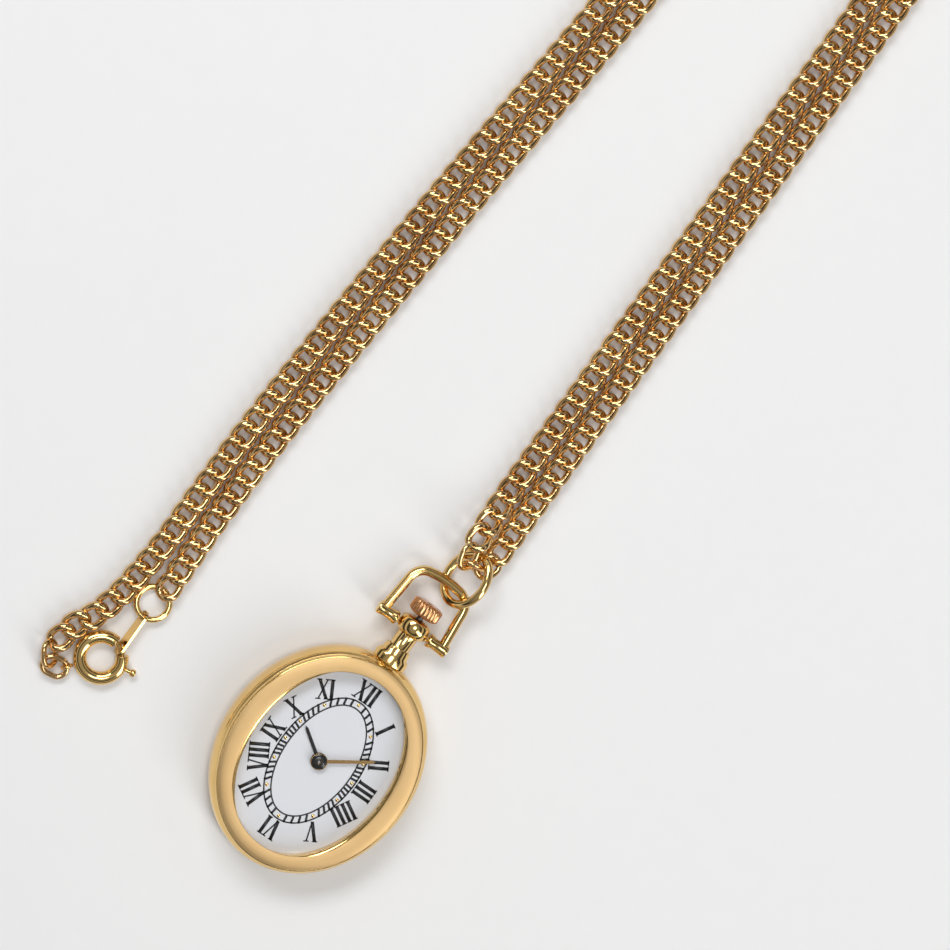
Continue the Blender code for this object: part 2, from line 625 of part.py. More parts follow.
def make_movement(case, finishes):
    holder_top = DIAL_BOTTOM - GAP
    holder = stack([(oval(CAVITY_X - 0.1, CAVITY_Y - 0.1), 1.05, holder_top)],
                   [(oval(MOVE_HALF_X + MOVE_FIT, MOVE_HALF_Y + MOVE_FIT), 1.05, holder_top)])
    holder_piece = add_piece("movement_holder", holder, finishes["holder"], case)
    slot = placed(stack([(circle(0.75, 16), MOVE_HALF_Y - 1, CAVITY_Y + 1)]), ALONG_Y)
    boolean(holder_piece, add_piece("holder_slot", slot, finishes["tool"], case), "DIFFERENCE")
    # Where the lever or the motor reaches past the movement's edge, the holder has a pocket.
    wide = LEVER_HALF_WIDE + POCKET_MARGIN
    lever_end = LEVER_START + LEVER_THICK + POCKET_MARGIN
    motor = STATOR_HALF_X + POCKET_MARGIN
    motor_end = COIL_Y - 0.7 - POCKET_MARGIN
    pockets = (("lever_pocket", [(-wide, 1.0), (wide, 1.0), (wide, lever_end), (-wide, lever_end)]),
               ("motor_pocket", [(-motor, motor_end), (motor, motor_end), (motor, -1.0), (-motor, -1.0)]))
    for name, outline in pockets:
        pocket = stack([(outline, 0.9, holder_top + 0.5)])
        boolean(holder_piece, add_piece(name, pocket, finishes["tool"], case), "DIFFERENCE")

    posts = ((-2.9, 1.4), (2.9, -1.6), (-2.9, -2.4))
    arbors = ((0.0, 0.0, CANNON_R + RUN), (0.0, INTERMEDIATE_Y, PIVOT_R + RUN), (0.0, ROTOR_Y, PIVOT_R + RUN),
              (0.0, MINUTE_WHEEL_Y, PIVOT_R + RUN), (0.0, SETTING_WHEEL_Y, PIVOT_R + RUN))
    holes = [(circle(r, 14, x, y), PLATE_BOTTOM, PLATE_TOP) for x, y, r in arbors]
    holes += [(circle(SCREW_HOLE_R, 14, x, y), PLATE_BOTTOM, PLATE_TOP) for x, y in posts]
    plate = stack([(slotted_oval(MOVE_HALF_X, MOVE_HALF_Y, 1.15, CLUTCH_START - 0.25),
                    PLATE_BOTTOM, PLATE_TOP)], holes)
    add_piece("main_plate", plate, finishes["brass"], case)

    bridge_top = BRIDGE_BOTTOM + BRIDGE_THICK
    outline = [(-3.7, 1.5), (-3.4, -2.8), (-1.2, ROTOR_Y - 0.9), (1.2, ROTOR_Y - 0.9), (3.4, -2.1),
               (3.4, -1.1), (0.6, 0.9), (-2.6, 2.0)]
    holes = [(circle(PIVOT_R + RUN, 14, 0, y), BRIDGE_BOTTOM, bridge_top)
             for y in (0.0, INTERMEDIATE_Y, ROTOR_Y)]
    holes += [(circle(SCREW_HOLE_R, 14, x, y), BRIDGE_BOTTOM, bridge_top) for x, y in posts]
    add_piece("train_bridge", stack([(outline, BRIDGE_BOTTOM, bridge_top)], holes), finishes["nickel"], case)
    for number, (x, y) in enumerate(posts, start=1):
        post = stack([(circle(POST_R, 16, x, y), bridge_top + GAP, PLATE_BOTTOM - GAP)],
                     [(circle(SCREW_HOLE_R, 14, x, y), bridge_top + GAP, PLATE_BOTTOM - GAP)])
        add_piece(f"bridge_post_{number}", post, finishes["brass"], case)
        screw = turned([(0, 0.66), (0.48, 0.66), (0.52, 0.72), (0.52, BRIDGE_BOTTOM - GAP),
                        (SCREW_R, BRIDGE_BOTTOM - GAP), (SCREW_R, PIVOT_TOP), (0, PIVOT_TOP)], 16)
        screw = placed(screw, Matrix.Translation((x, y, 0)))
        add_piece(f"bridge_screw_{number}", screw, finishes["steel"], case)

    rim = BATTERY_R - 0.1
    battery = turned([(0, 0.78), (BATTERY_R - 0.55, 0.78), (BATTERY_R - 0.45, 0.98), (rim, 0.98),
                      (BATTERY_R, 1.08), (BATTERY_R, 1.95), (rim, 2.03), (0, 2.03)], 36)
    seat = Matrix.Translation((BATTERY_X, BATTERY_Y, 0))
    add_piece("battery", placed(battery, seat), finishes["steel"], case)
    left, right = BATTERY_X - 2.7, BATTERY_X + 2.5
    low, high = BATTERY_Y - 0.5, BATTERY_Y + 0.5
    clamp = [(left, low), (right, low), (right, high), (left, high)]
    add_piece("battery_clamp", stack([(clamp, 0.52, 0.72)]), finishes["nickel"], case)

    wide, leg_end = STATOR_HALF_X, COIL_Y - 0.7
    stator = [(-wide, leg_end), (1.0 - wide, leg_end), (1.2 - wide, ROTOR_Y - 1.5),
              (wide - 1.2, ROTOR_Y - 1.5), (wide - 1.0, leg_end), (wide, leg_end), (wide, ROTOR_Y + 0.6),
              (1.5, ROTOR_Y + 1.3), (-1.5, ROTOR_Y + 1.3), (-wide, ROTOR_Y + 0.6)]
    low, high = MAGNET_Z + 0.06, MAGNET_TOP - 0.08
    add_piece("stator", stack([(stator, low, high)], [(circle(0.78, 20, 0, ROTOR_Y), low, high)]),
              finishes["nickel"], case)
    low, high = COIL_Y - 0.65, COIL_Y + 0.65
    neck_low, neck_high = COIL_Y - 0.3, COIL_Y + 0.3
    pad, neck = COIL_HALF_LENGTH + 0.35, COIL_HALF_LENGTH + 0.15
    core = [(-wide, low), (-pad, low), (-neck, neck_low), (neck, neck_low), (pad, low), (wide, low),
            (wide, high), (pad, high), (neck, neck_high), (-neck, neck_high), (-pad, high), (-wide, high)]
    core_z = MAGNET_TOP - 0.04
    add_piece("coil_core", stack([(core, core_z, core_z + 0.26)]), finishes["nickel"], case)
    coil_bore = [(-0.17, -0.34), (0.17, -0.34), (0.17, 0.34), (-0.17, 0.34)]
    end = COIL_HALF_LENGTH
    winding = stack([(circle(COIL_R, 24), -end, end)], [(coil_bore, -end, end)])
    along_x = Matrix.Translation((0, COIL_Y, core_z + 0.13)) @ Matrix.Rotation(math.radians(90), 4, "Y")
    add_piece("coil", placed(winding, along_x), finishes["copper_wire"], case)

    board = [(-6.6, -3.0), (-4.2, -3.0), (-4.2, 4.6), (-5.4, 4.6), (-6.6, 2.6)]
    add_piece("circuit_board", stack([(board, 1.2, 1.35)]), finishes["board"], case)
    chip = [(-6.1, -0.6), (-4.7, -0.6), (-4.7, 0.8), (-6.1, 0.8)]
    add_piece("timing_chip", stack([(chip, 1.4, 1.75)]), finishes["black"], case)
    can = turned([(0, -2.0), (0.45, -2.0), (0.5, -1.9), (0.5, 1.9), (0.4, 2.0), (0, 2.0)], 20)
    lay = (Matrix.Translation((-3.5, 4.8, 1.9)) @ Matrix.Rotation(math.radians(-35), 4, "Z")
           @ Matrix.Rotation(math.radians(90), 4, "X"))
    add_piece("quartz_can", placed(can, lay), finishes["steel"], case)


def make_wheels(bodies, finishes):
    toward_crown, toward_back = math.pi / 2, -math.pi / 2
    wheel_top = CENTER_WHEEL_Z + WHEEL_THICK
    center = stack([(gear(CENTER_TEETH, TRAIN_MODULE, toward_back), CENTER_WHEEL_Z, wheel_top)],
                   [(circle(CANNON_R + 0.01, 16), CENTER_WHEEL_Z, wheel_top)])
    add_piece("center_wheel", center, finishes["brass"], bodies["minute"])
    bridge_top = BRIDGE_BOTTOM + BRIDGE_THICK
    tip = MINUTE_HAND_Z + HAND_THICK + 0.12
    arbor = turned([(0, PIVOT_BOTTOM), (PIVOT_R, PIVOT_BOTTOM), (PIVOT_R, bridge_top + 0.05),
                    (CANNON_R, bridge_top + 0.1), (CANNON_R, MINUTE_HAND_Z - 0.12),
                    (ARBOR_R, MINUTE_HAND_Z - 0.1), (ARBOR_R, tip - 0.06), (ARBOR_R - 0.07, tip),
                    (0, tip)], 20)
    add_piece("center_arbor", arbor, finishes["steel"], bodies["minute"])
    motion_top = MOTION_Z + MOTION_THICK
    cannon = stack([(gear(CANNON_TEETH, MOTION_MODULE, toward_crown), MOTION_Z, motion_top)],
                   [(circle(CANNON_R + 0.01, 16), MOTION_Z, motion_top)])
    add_piece("cannon_pinion", cannon, finishes["steel"], bodies["minute"])

    pipe_top = HOUR_HAND_Z + HAND_THICK + 0.05
    hour = stack([(gear(HOUR_TEETH, MOTION_MODULE, toward_crown), HOUR_WHEEL_Z, HOUR_WHEEL_TOP),
                  (circle(HOUR_PIPE_R, 24), HOUR_WHEEL_TOP, pipe_top)],
                 [(circle(CANNON_R + RUN, 20), HOUR_WHEEL_Z, pipe_top)])
    add_piece("hour_wheel", hour, finishes["brass"], bodies["hour"])

    pitch = 2 * math.pi / MINUTE_WHEEL_TEETH
    wheel = gear(MINUTE_WHEEL_TEETH, MOTION_MODULE, toward_back + pitch / 2, MINUTE_WHEEL_Y)
    pitch = 2 * math.pi / MINUTE_PINION_TEETH
    pinion = gear(MINUTE_PINION_TEETH, MOTION_MODULE, toward_back + pitch / 2, MINUTE_WHEEL_Y)
    pivot = circle(PIVOT_R, 14, 0, MINUTE_WHEEL_Y)
    pivot_start, pinion_top = PLATE_BOTTOM + END_SHAKE, HOUR_WHEEL_TOP + 0.02
    minute_wheel = stack([(pivot, pivot_start, MOTION_Z), (wheel, MOTION_Z, motion_top),
                          (pinion, motion_top, pinion_top)])
    add_piece("minute_wheel", minute_wheel, finishes["brass"], bodies["minute_wheel"])

    setting = gear(SETTING_TEETH, MOTION_MODULE, toward_back, SETTING_WHEEL_Y)
    pivot = circle(PIVOT_R, 14, 0, SETTING_WHEEL_Y)
    setting_wheel = stack([(pivot, pivot_start, MOTION_Z), (setting, MOTION_Z, pinion_top)])
    add_piece("setting_wheel", setting_wheel, finishes["brass"], bodies["setting_wheel"])

    pitch = 2 * math.pi / INTERMEDIATE_PINION_TEETH
    pinion = gear(INTERMEDIATE_PINION_TEETH, TRAIN_MODULE, toward_crown + pitch / 2, INTERMEDIATE_Y)
    pivot = circle(PIVOT_R, 14, 0, INTERMEDIATE_Y)
    wheel = gear(INTERMEDIATE_TEETH, MOTOR_MODULE, toward_back, INTERMEDIATE_Y)
    wheel_end, pinion_end = INTERMEDIATE_Z + WHEEL_THICK, wheel_top + 0.05
    intermediate = stack([(pivot, PIVOT_BOTTOM, INTERMEDIATE_Z), (wheel, INTERMEDIATE_Z, wheel_end),
                          (pinion, wheel_end, pinion_end), (pivot, pinion_end, PIVOT_TOP)])
    add_piece("intermediate_wheel", intermediate, finishes["brass"], bodies["intermediate"])

    pitch = 2 * math.pi / ROTOR_TEETH
    pinion = gear(ROTOR_TEETH, MOTOR_MODULE, toward_crown + pitch / 2, ROTOR_Y)
    pivot = circle(PIVOT_R, 14, 0, ROTOR_Y)
    magnet = circle(0.6, 20, 0, ROTOR_Y)
    rotor = stack([(pivot, PIVOT_BOTTOM, MAGNET_Z), (magnet, MAGNET_Z, MAGNET_TOP),
                   (pinion, MAGNET_TOP, wheel_end + 0.1), (pivot, wheel_end + 0.1, PIVOT_TOP)])
    add_piece("rotor", rotor, finishes["magnet"], bodies["rotor"])


def hand_outline(length, boss_r, tail_width, tip_width, count=28):
    """A round boss with a straight blade that points along +Y."""
    spread = math.asin(tail_width / 2 / boss_r)
    start = math.pi / 2 + spread
    points = []
    for k in range(count + 1):
        angle = start + (2 * math.pi - 2 * spread) * k / count
        points.append((boss_r * math.cos(angle), boss_r * math.sin(angle)))
    points += [(tip_width / 2, length - tip_width), (0.0, length), (-tip_width / 2, length - tip_width)]
    return points


def make_hands(bodies, finishes):
    hour = stack([(hand_outline(HOUR_HAND_LENGTH, HUB_R, HAND_WIDTH + 0.05, HAND_WIDTH), HOUR_HAND_Z,
                   HOUR_HAND_Z + HAND_THICK)],
                 [(circle(HOUR_PIPE_R + 0.01, 24), HOUR_HAND_Z, HOUR_HAND_Z + HAND_THICK)])
    turn = Matrix.Rotation(math.radians(-HOUR_HAND_ANGLE), 4, "Z")
    add_piece("hour_hand", placed(hour, turn), finishes["black"], bodies["hour"])
    outline = hand_outline(MINUTE_HAND_LENGTH, HUB_R - 0.15, HAND_WIDTH + 0.05, HAND_WIDTH)
    minute_top = MINUTE_HAND_Z + HAND_THICK
    minute = stack([(outline, MINUTE_HAND_Z, minute_top)],
                   [(circle(ARBOR_R + 0.01, 20), MINUTE_HAND_Z, minute_top)])
    turn = Matrix.Rotation(math.radians(-MINUTE_HAND_ANGLE), 4, "Z")
    add_piece("minute_hand", placed(minute, turn), finishes["bronze"], bodies["minute"])


# ---------------------------------------------------------------- bow and oval ring
def make_bow(bow_body, finishes):
    lay = (Matrix.Translation((0, PIVOT_Y, STEM_Z)) @ Matrix.Rotation(math.radians(-BOW_SLOPE), 4, "X"))
    corners = [(BOW_HALF_LEG, 0), (BOW_HALF_SHOULDER, BOW_SHOULDER), (0, BOW_ARCH),
               (-BOW_HALF_SHOULDER, BOW_SHOULDER), (-BOW_HALF_LEG, 0)]
    stirrup = wire(fillet_path(corners, (2.3, 12.0, 2.3)), BOW_WIRE_R, 10, closed=False)
    bow = add_piece("bow", placed(stirrup, lay), finishes["gold"], bow_body)
    for side, label in ((-1, "left"), (1, "right")):
        along_x = lay @ Matrix.Rotation(math.radians(90 * side), 4, "Y")
        inner_end = HEAD_R + 0.25
        foot = turned([(0, inner_end), (BOW_FOOT_R - 0.1, inner_end), (BOW_FOOT_R, inner_end + 0.12),
                       (BOW_FOOT_R, BOW_HALF_FOOT - 0.35), (0.5, BOW_HALF_FOOT), (0, BOW_HALF_FOOT)], 20)
        foot = add_piece("bow_foot_" + label, placed(foot, along_x), finishes["tool"], bow_body)
        boolean(bow, foot, "UNION")
    for side, label in ((-1, "left"), (1, "right")):
        along_x = lay @ Matrix.Rotation(math.radians(90 * side), 4, "Y")
        hole = stack([(circle(BOW_PIN_R + RUN, 16), HEAD_R - 0.5, 4.35)])
        hole = add_piece("bow_hole_" + label, placed(hole, along_x), finishes["tool"], bow_body)
        boolean(bow, hole, "DIFFERENCE")


def make_ring(ring_body, finishes):
    path = [(RING_HALF_WIDE * x, RING_HALF_LONG * y) for x, y in circle(1.0, 32)]
    lay = (Matrix.Translation((RING_X, RING_Y, RING_Z)) @ Matrix.Rotation(math.radians(-RING_TILT), 4, "Y"))
    add_piece("oval_ring", placed(wire(path, RING_WIRE_R, 10), lay), finishes["gold"], ring_body)


# ---------------------------------------------------------------- chain
def smooth_points(route, spacing):
    """Evenly spaced points on a smooth curve through the route's points."""
    route = [Vector(p) for p in route]
    ends = [route[0] * 2 - route[1]] + route + [route[-1] * 2 - route[-2]]
    dense = []
    for a, b, c, d in zip(ends, ends[1:], ends[2:], ends[3:]):
        for s in range(24):
            t = s / 24
            dense.append(0.5 * (2 * b + (c - a) * t + (2 * a - 5 * b + 4 * c - d) * t ** 2
                                + (3 * b - 3 * c + d - a) * t ** 3))
    dense.append(route[-1])
    lengths = [0.0]
    for a, b in zip(dense, dense[1:]):
        lengths.append(lengths[-1] + (b - a).length)
    count = max(2, round(lengths[-1] / spacing))
    points, k = [], 0
    for n in range(count + 1):
        target = lengths[-1] * n / count
        while k < len(lengths) - 2 and lengths[k + 1] < target:
            k += 1
        share = (target - lengths[k]) / max(1e-9, lengths[k + 1] - lengths[k])
        points.append(dense[k].lerp(dense[k + 1], share))
    return points, lengths[-1]


TURN_X = -11.2        # centre of the doubled chain's far bend
TURN_Y = 186.0


def far_bend(radius):
    """The half circle where one strand turns back, from the right arm to the left."""
    return [(TURN_X + x, TURN_Y + y, STRAND_Z) for x, y in arc(radius, 15, 165, 7)]


INNER_ROUTE = ([(0.05, 36.6, 3.1), (0.05, 39.5, 2.4), (0.05, 43.5, STRAND_Z),
                (0.05, 48, STRAND_Z), (0.05, 60, STRAND_Z),
                (0.05, 90, STRAND_Z), (0.05, 120, STRAND_Z), (0.05, 150, STRAND_Z), (0.05, 175, STRAND_Z)]
               + far_bend(11.25)
               + [(-22.45, 175, STRAND_Z), (-22.9, 150, STRAND_Z), (-23.5, 125, STRAND_Z),
                  (-24.25, 103.7, STRAND_Z), (-26.95, 70.2, STRAND_Z), (-29.05, 36.4, STRAND_Z),
                  (-29.5, 19.9, STRAND_Z), (-29.4, 13.5, STRAND_Z), (-29.3, 8.9, STRAND_Z)])
OUTER_ROUTE = ([(3.75, 36.6, STRAND_Z), (3.75, 43.5, STRAND_Z), (3.75, 60, STRAND_Z),
                (3.75, 90, STRAND_Z), (3.75, 120, STRAND_Z), (3.75, 150, STRAND_Z), (3.75, 175, STRAND_Z)]
               + far_bend(16.3)
               + [(-26.15, 175, STRAND_Z), (-26.6, 150, STRAND_Z), (-27.2, 125, STRAND_Z),
                  (-27.95, 103.7, STRAND_Z), (-30.65, 70.2, STRAND_Z), (-32.75, 36.4, STRAND_Z),
                  (-33.2, 19.9, STRAND_Z), (-33.2, 12.6, STRAND_Z), (-33.75, 5.2, STRAND_Z),
                  (-34.3, 1.6, STRAND_Z), (-35.2, -1.4, STRAND_Z), (-36.4, -3.6, STRAND_Z),
                  (OUTER_END_X, -5.5, STRAND_Z)])


def make_strand(name, route, chain, finish):
    points, length = smooth_points(route, 10.0)
    curve = bpy.data.curves.new(name, "CURVE")
    curve.dimensions = "3D"
    spline = curve.splines.new("POLY")
    spline.points.add(len(points) - 1)
    for spot, point in zip(spline.points, points):
        spot.co = (*(point * MM), 1.0)
    curve.bevel_depth = STRAND_R * MM
    curve.bevel_resolution = 2
    curve.use_fill_caps = True
    curve.materials.append(finish)
    strand = bpy.data.objects.new(name, curve)
    bpy.context.scene.collection.objects.link(strand)
    strand.parent = chain
    print(f"{name}: {length:.1f} mm, {len(points)} points")


def make_link(name, spot, turn, chain, finish, size=(LINK_LENGTH, LINK_WIDTH, LINK_WIRE_R)):
    lay = Matrix.Translation(spot) @ euler(*turn)
    add_piece(name, placed(wire(link_path(*size), size[2], 8), lay), finish, chain)


def make_chain(chain, finishes):
    gold = finishes["chain"]
    make_strand("chain_strand_inner", INNER_ROUTE, chain, gold)
    make_strand("chain_strand_outer", OUTER_ROUTE, chain, gold)
    links = (("chain_link_over_ring", (0.208, 2.761, 3.833), (34.7, -6.6, 107.1)),
             ("chain_link_in_ring", (1.685, 1.904, 2.384), (68.9, 42.6, -2.5)),
             ("chain_link_under_ring", (3.504, 2.862, 1.608), (-6.5, 18.3, 69.0)))
    for name, (x, from_ring, z), turn in links:
        make_link(name, (x, RING_Y + from_ring, z), turn, chain, gold)
    end_size = (END_LINK_LENGTH, END_LINK_WIDTH, END_LINK_WIRE_R)
    end_links = (("chain_end_link_first", (-2.915, 0.19, 0.405), (47.8, 0.7, 124.4)),
                 ("chain_end_link_last", (-1.342, -0.908, 0.114), (5.9, 7.4, 7.0)))
    for name, (x, y, z), turn in end_links:
        spot = (EYELET_X + x, EYELET_Y + y, CLASP_Z + z)
        make_link(name, spot, turn, chain, gold, end_size)


# ---------------------------------------------------------------- clasp
def make_clasp(chain, tongue_body, finishes):
    gold = finishes["gold"]
    seat = Matrix.Translation((CLASP_X, CLASP_Y, CLASP_Z))
    curl = arc(CLASP_R, MOUTH_TO, MOUTH_FROM + 360, 33)
    tube = wire(curl, CLASP_TUBE_R, 12, closed=False, bore=CLASP_BORE_R)
    ring = add_piece("spring_ring", placed(tube, seat), gold, chain)
    slot_from, slot_to = TRIGGER_ANGLE - TONGUE_SWING - SLOT_MARGIN, TRIGGER_ANGLE + SLOT_MARGIN
    slot_path = arc(CLASP_R + SLOT_DEPTH, slot_from, slot_to, 9)
    slot = placed(wire(slot_path, TRIGGER_SLOT_R, 10, closed=False), seat)
    slot = add_piece("trigger_slot", slot, finishes["tool"], chain)
    boolean(ring, slot, "DIFFERENCE")

    tongue = placed(wire(arc(CLASP_R, -40, MOUTH_TO + 8, 22), TONGUE_R, 10, closed=False), seat)
    tongue_piece = add_piece("tongue", tongue, gold, tongue_body)
    out = Matrix.Rotation(math.radians(TRIGGER_ANGLE), 4, "Z") @ Matrix.Rotation(math.radians(90), 4, "Y")
    tip = CLASP_R + CLASP_TUBE_R + TRIGGER_REACH
    trigger = turned([(0, CLASP_R), (TRIGGER_NECK_R, CLASP_R), (TRIGGER_NECK_R, tip - 0.8),
                      (TRIGGER_KNOB_R - 0.1, tip - 0.7), (TRIGGER_KNOB_R, tip - 0.4),
                      (TRIGGER_KNOB_R - 0.1, tip - 0.1), (0, tip)], 14)
    knob = add_piece("trigger_knob", placed(placed(trigger, out), seat), finishes["tool"], tongue_body)
    boolean(tongue_piece, knob, "UNION")

    spring = placed(wire(arc(CLASP_R, -150, -92, 14), SPRING_R, 10, closed=False), seat)
    add_piece("tongue_spring", spring, finishes["steel"], chain)

    stand = Matrix.Translation((EYELET_X, EYELET_Y, CLASP_Z)) @ euler(90, 0, EYELET_SPOKE)
    add_piece("clasp_eyelet", placed(wire(circle(EYELET_R, 20), EYELET_WIRE_R, 8), stand), gold, chain)

    # The thin tab stands nearly on edge: the tongue passes through its wide end's hole and
    # the jump ring through its narrow end's hole.
    mouth = math.radians((MOUTH_FROM + MOUTH_TO) / 2)
    tab_x = CLASP_X + CLASP_R * math.cos(mouth)
    tab_y = CLASP_Y + CLASP_R * math.sin(mouth)
    outline = arc(TAB_WIDE_R, 175, 365, 16)
    outline += [(x, y + TAB_LENGTH) for x, y in arc(TAB_NARROW_R, 0, 180, 14)]
    low, high = -TAB_THICK / 2, TAB_THICK / 2
    tab = stack([(outline, low, high)], [(circle(TAB_WIDE_HOLE_R, 18), low, high),
                                         (circle(TAB_NARROW_HOLE_R, 18, 0, TAB_LENGTH), low, high)])
    lay = Matrix.Translation((tab_x, tab_y, TAB_Z)) @ Matrix.Rotation(math.radians(TAB_TURN), 4, "Y")
    add_piece("chain_tab", placed(tab, lay), gold, chain)
    lay = (Matrix.Translation((tab_x, tab_y + TAB_LENGTH + JUMP_R, TAB_Z))
           @ Matrix.Rotation(math.radians(JUMP_TILT), 4, "X") @ Matrix.Translation((0, 0, -JUMP_DROP)))
    add_piece("jump_ring", placed(wire(circle(JUMP_R, 24), JUMP_WIRE_R, 8), lay), gold, chain)


# ---------------------------------------------------------------- the whole watch
def make_watch():
    clear_scene()
    finishes = {
        "gold": material("polished_gold", (0.83, 0.62, 0.30), 1.0, 0.12),
        "satin": material("satin_gold", (0.80, 0.67, 0.42), 1.0, 0.38),
        "chain": material("chain_gold", (0.78, 0.54, 0.24), 1.0, 0.15),
        "copper": material("crown_gold", (0.66, 0.38, 0.20), 1.0, 0.25),
        "brass": material("movement_brass", (0.75, 0.58, 0.27), 1.0, 0.3),
        "nickel": material("nickel_plate", (0.70, 0.69, 0.66), 1.0, 0.3),
        "steel": material("steel", (0.62, 0.62, 0.63), 1.0, 0.25),
        "dark_steel": material("dark_stem_steel", (0.12, 0.10, 0.09), 1.0, 0.35),
        "glass": material("mineral_glass", (0.95, 0.97, 1.0), 0.0, 0.02),
        "gasket": material("gasket_rubber", (0.03, 0.03, 0.03), 0.0, 0.7),
        "dial": material("dial_enamel", (0.93, 0.94, 0.96), 0.0, 0.3),
        "holder": material("holder_plastic", (0.86, 0.86, 0.84), 0.0, 0.5),
        "board": material("circuit_board", (0.05, 0.22, 0.12), 0.0, 0.5),
        "black": material("black_lacquer", (0.02, 0.02, 0.02), 0.0, 0.3),
        "bronze": material("hand_bronze", (0.42, 0.28, 0.13), 1.0, 0.3),
        "copper_wire": material("coil_wire", (0.72, 0.33, 0.16), 1.0, 0.35),
        "magnet": material("rotor_magnet", (0.20, 0.20, 0.21), 0.6, 0.45),
        "tool": material("hidden_tool", (1.0, 0.0, 1.0), 0.0, 0.5),
    }
    chain = body("body_chain", (0, 0, 0))
    tongue = body("body_tongue", (CLASP_X, CLASP_Y, CLASP_Z), chain)
    ring = body("body_oval_ring", (RING_X, RING_Y + RING_HALF_LONG, RING_Z), chain)
    slope = math.radians(BOW_SLOPE)
    bow = body("body_bow", (0, PIVOT_Y + BOW_ARCH_AXIS * math.cos(slope),
                        STEM_Z - BOW_ARCH_AXIS * math.sin(slope)), ring)
    case = body("body_case", (0, PIVOT_Y, STEM_Z), bow)
    lever = body("body_setting_lever", (0, 0, STEM_Z), case)
    crown = body("body_crown", (0, 0, STEM_Z), lever)
    clutch = body("body_sliding_pinion", (0, 0, STEM_Z), crown)
    bodies = {
        "minute": body("body_minute", (0, 0, 0), case),
        "hour": body("body_hour", (0, 0, 0), case),
        "minute_wheel": body("body_minute_wheel", (0, MINUTE_WHEEL_Y, 0), case),
        "setting_wheel": body("body_setting_wheel", (0, SETTING_WHEEL_Y, 0), case),
        "intermediate": body("body_intermediate", (0, INTERMEDIATE_Y, 0), case),
        "rotor": body("body_rotor", (0, ROTOR_Y, 0), case),
    }
    make_case(case, finishes)
    make_pendant(case, finishes)
    make_movement(case, finishes)
    make_wheels(bodies, finishes)
    make_hands(bodies, finishes)
    make_crown(lever, crown, clutch, finishes)
    make_bow(bow, finishes)
    make_ring(ring, finishes)
    make_chain(chain, finishes)
    make_clasp(chain, tongue, finishes)


make_watch()
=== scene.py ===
# %% [markdown]
# # An oval pendant watch on a doubled chain
# Everything added here is laid over those pieces. Outer sizes and places are read from the frame where it gives
# them, and the finer outlines, which it doesn't give, are given to match it.

# %% Load the frame
import math

import bmesh
import bpy
from mathutils import Matrix, Vector


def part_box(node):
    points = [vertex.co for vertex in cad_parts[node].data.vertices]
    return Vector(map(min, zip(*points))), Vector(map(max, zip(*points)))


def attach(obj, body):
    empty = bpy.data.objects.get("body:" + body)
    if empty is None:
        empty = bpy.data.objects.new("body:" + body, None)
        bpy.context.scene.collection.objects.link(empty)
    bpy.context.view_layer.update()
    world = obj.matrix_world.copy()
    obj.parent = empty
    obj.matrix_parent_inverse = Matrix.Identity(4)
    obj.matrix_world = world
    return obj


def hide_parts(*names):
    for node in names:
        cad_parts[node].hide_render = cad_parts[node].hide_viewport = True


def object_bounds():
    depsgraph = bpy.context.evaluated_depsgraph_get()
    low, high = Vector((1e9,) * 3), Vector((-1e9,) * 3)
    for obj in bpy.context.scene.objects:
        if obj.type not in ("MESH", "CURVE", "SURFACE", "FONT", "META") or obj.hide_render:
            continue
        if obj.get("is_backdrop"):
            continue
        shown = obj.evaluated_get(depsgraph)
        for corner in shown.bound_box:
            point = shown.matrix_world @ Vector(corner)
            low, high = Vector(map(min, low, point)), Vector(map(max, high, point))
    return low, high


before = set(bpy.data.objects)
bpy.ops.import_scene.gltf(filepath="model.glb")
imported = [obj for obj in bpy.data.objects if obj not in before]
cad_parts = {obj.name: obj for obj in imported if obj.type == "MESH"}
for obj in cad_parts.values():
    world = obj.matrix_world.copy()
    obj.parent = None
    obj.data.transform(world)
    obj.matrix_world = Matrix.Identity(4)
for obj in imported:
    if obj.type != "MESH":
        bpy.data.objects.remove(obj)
cad_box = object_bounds()
MM = 0.001

# %% [markdown]
# ## Camera and stage
# A long lens from far away keeps the oval of the case true. The floor is one big sheet under the watch, pale
# enough for soft shadows to show where things touch it.

# %% Camera
TOWARD_CAMERA = Vector((-0.1871, 0.0906, 0.9782))
CAMERA_RIGHT = Vector((0.8047, 0.5854, 0.0997))
CAMERA_UP = Vector((-0.5636, 0.8057, -0.1824))
AIM = Vector((-4.75, 42.4, -0.2)) * MM
CAMERA_DISTANCE = 1.0417
FOCAL_LENGTH, SENSOR_WIDTH, NEAR_CLIP = 300, 36, 0.01
lens = bpy.data.cameras.new("camera")
lens.lens, lens.sensor_width, lens.clip_start = FOCAL_LENGTH, SENSOR_WIDTH, NEAR_CLIP
camera = bpy.data.objects.new("camera", lens)
bpy.context.scene.collection.objects.link(camera)
turn = Matrix((CAMERA_RIGHT, CAMERA_UP, TOWARD_CAMERA)).transposed().to_4x4()
camera.matrix_world = Matrix.Translation(AIM + TOWARD_CAMERA * CAMERA_DISTANCE) @ turn
bpy.context.scene.camera = camera
print("camera stands", round(camera.location.z, 3), "m over the table")


# %% [markdown]
# ## Writing shader maths as plain Python
# A shader is a graph of nodes, but most of it is arithmetic. A small class wraps one output and overloads the
# operators, so `1 - mask * 0.5` adds its own Math nodes.

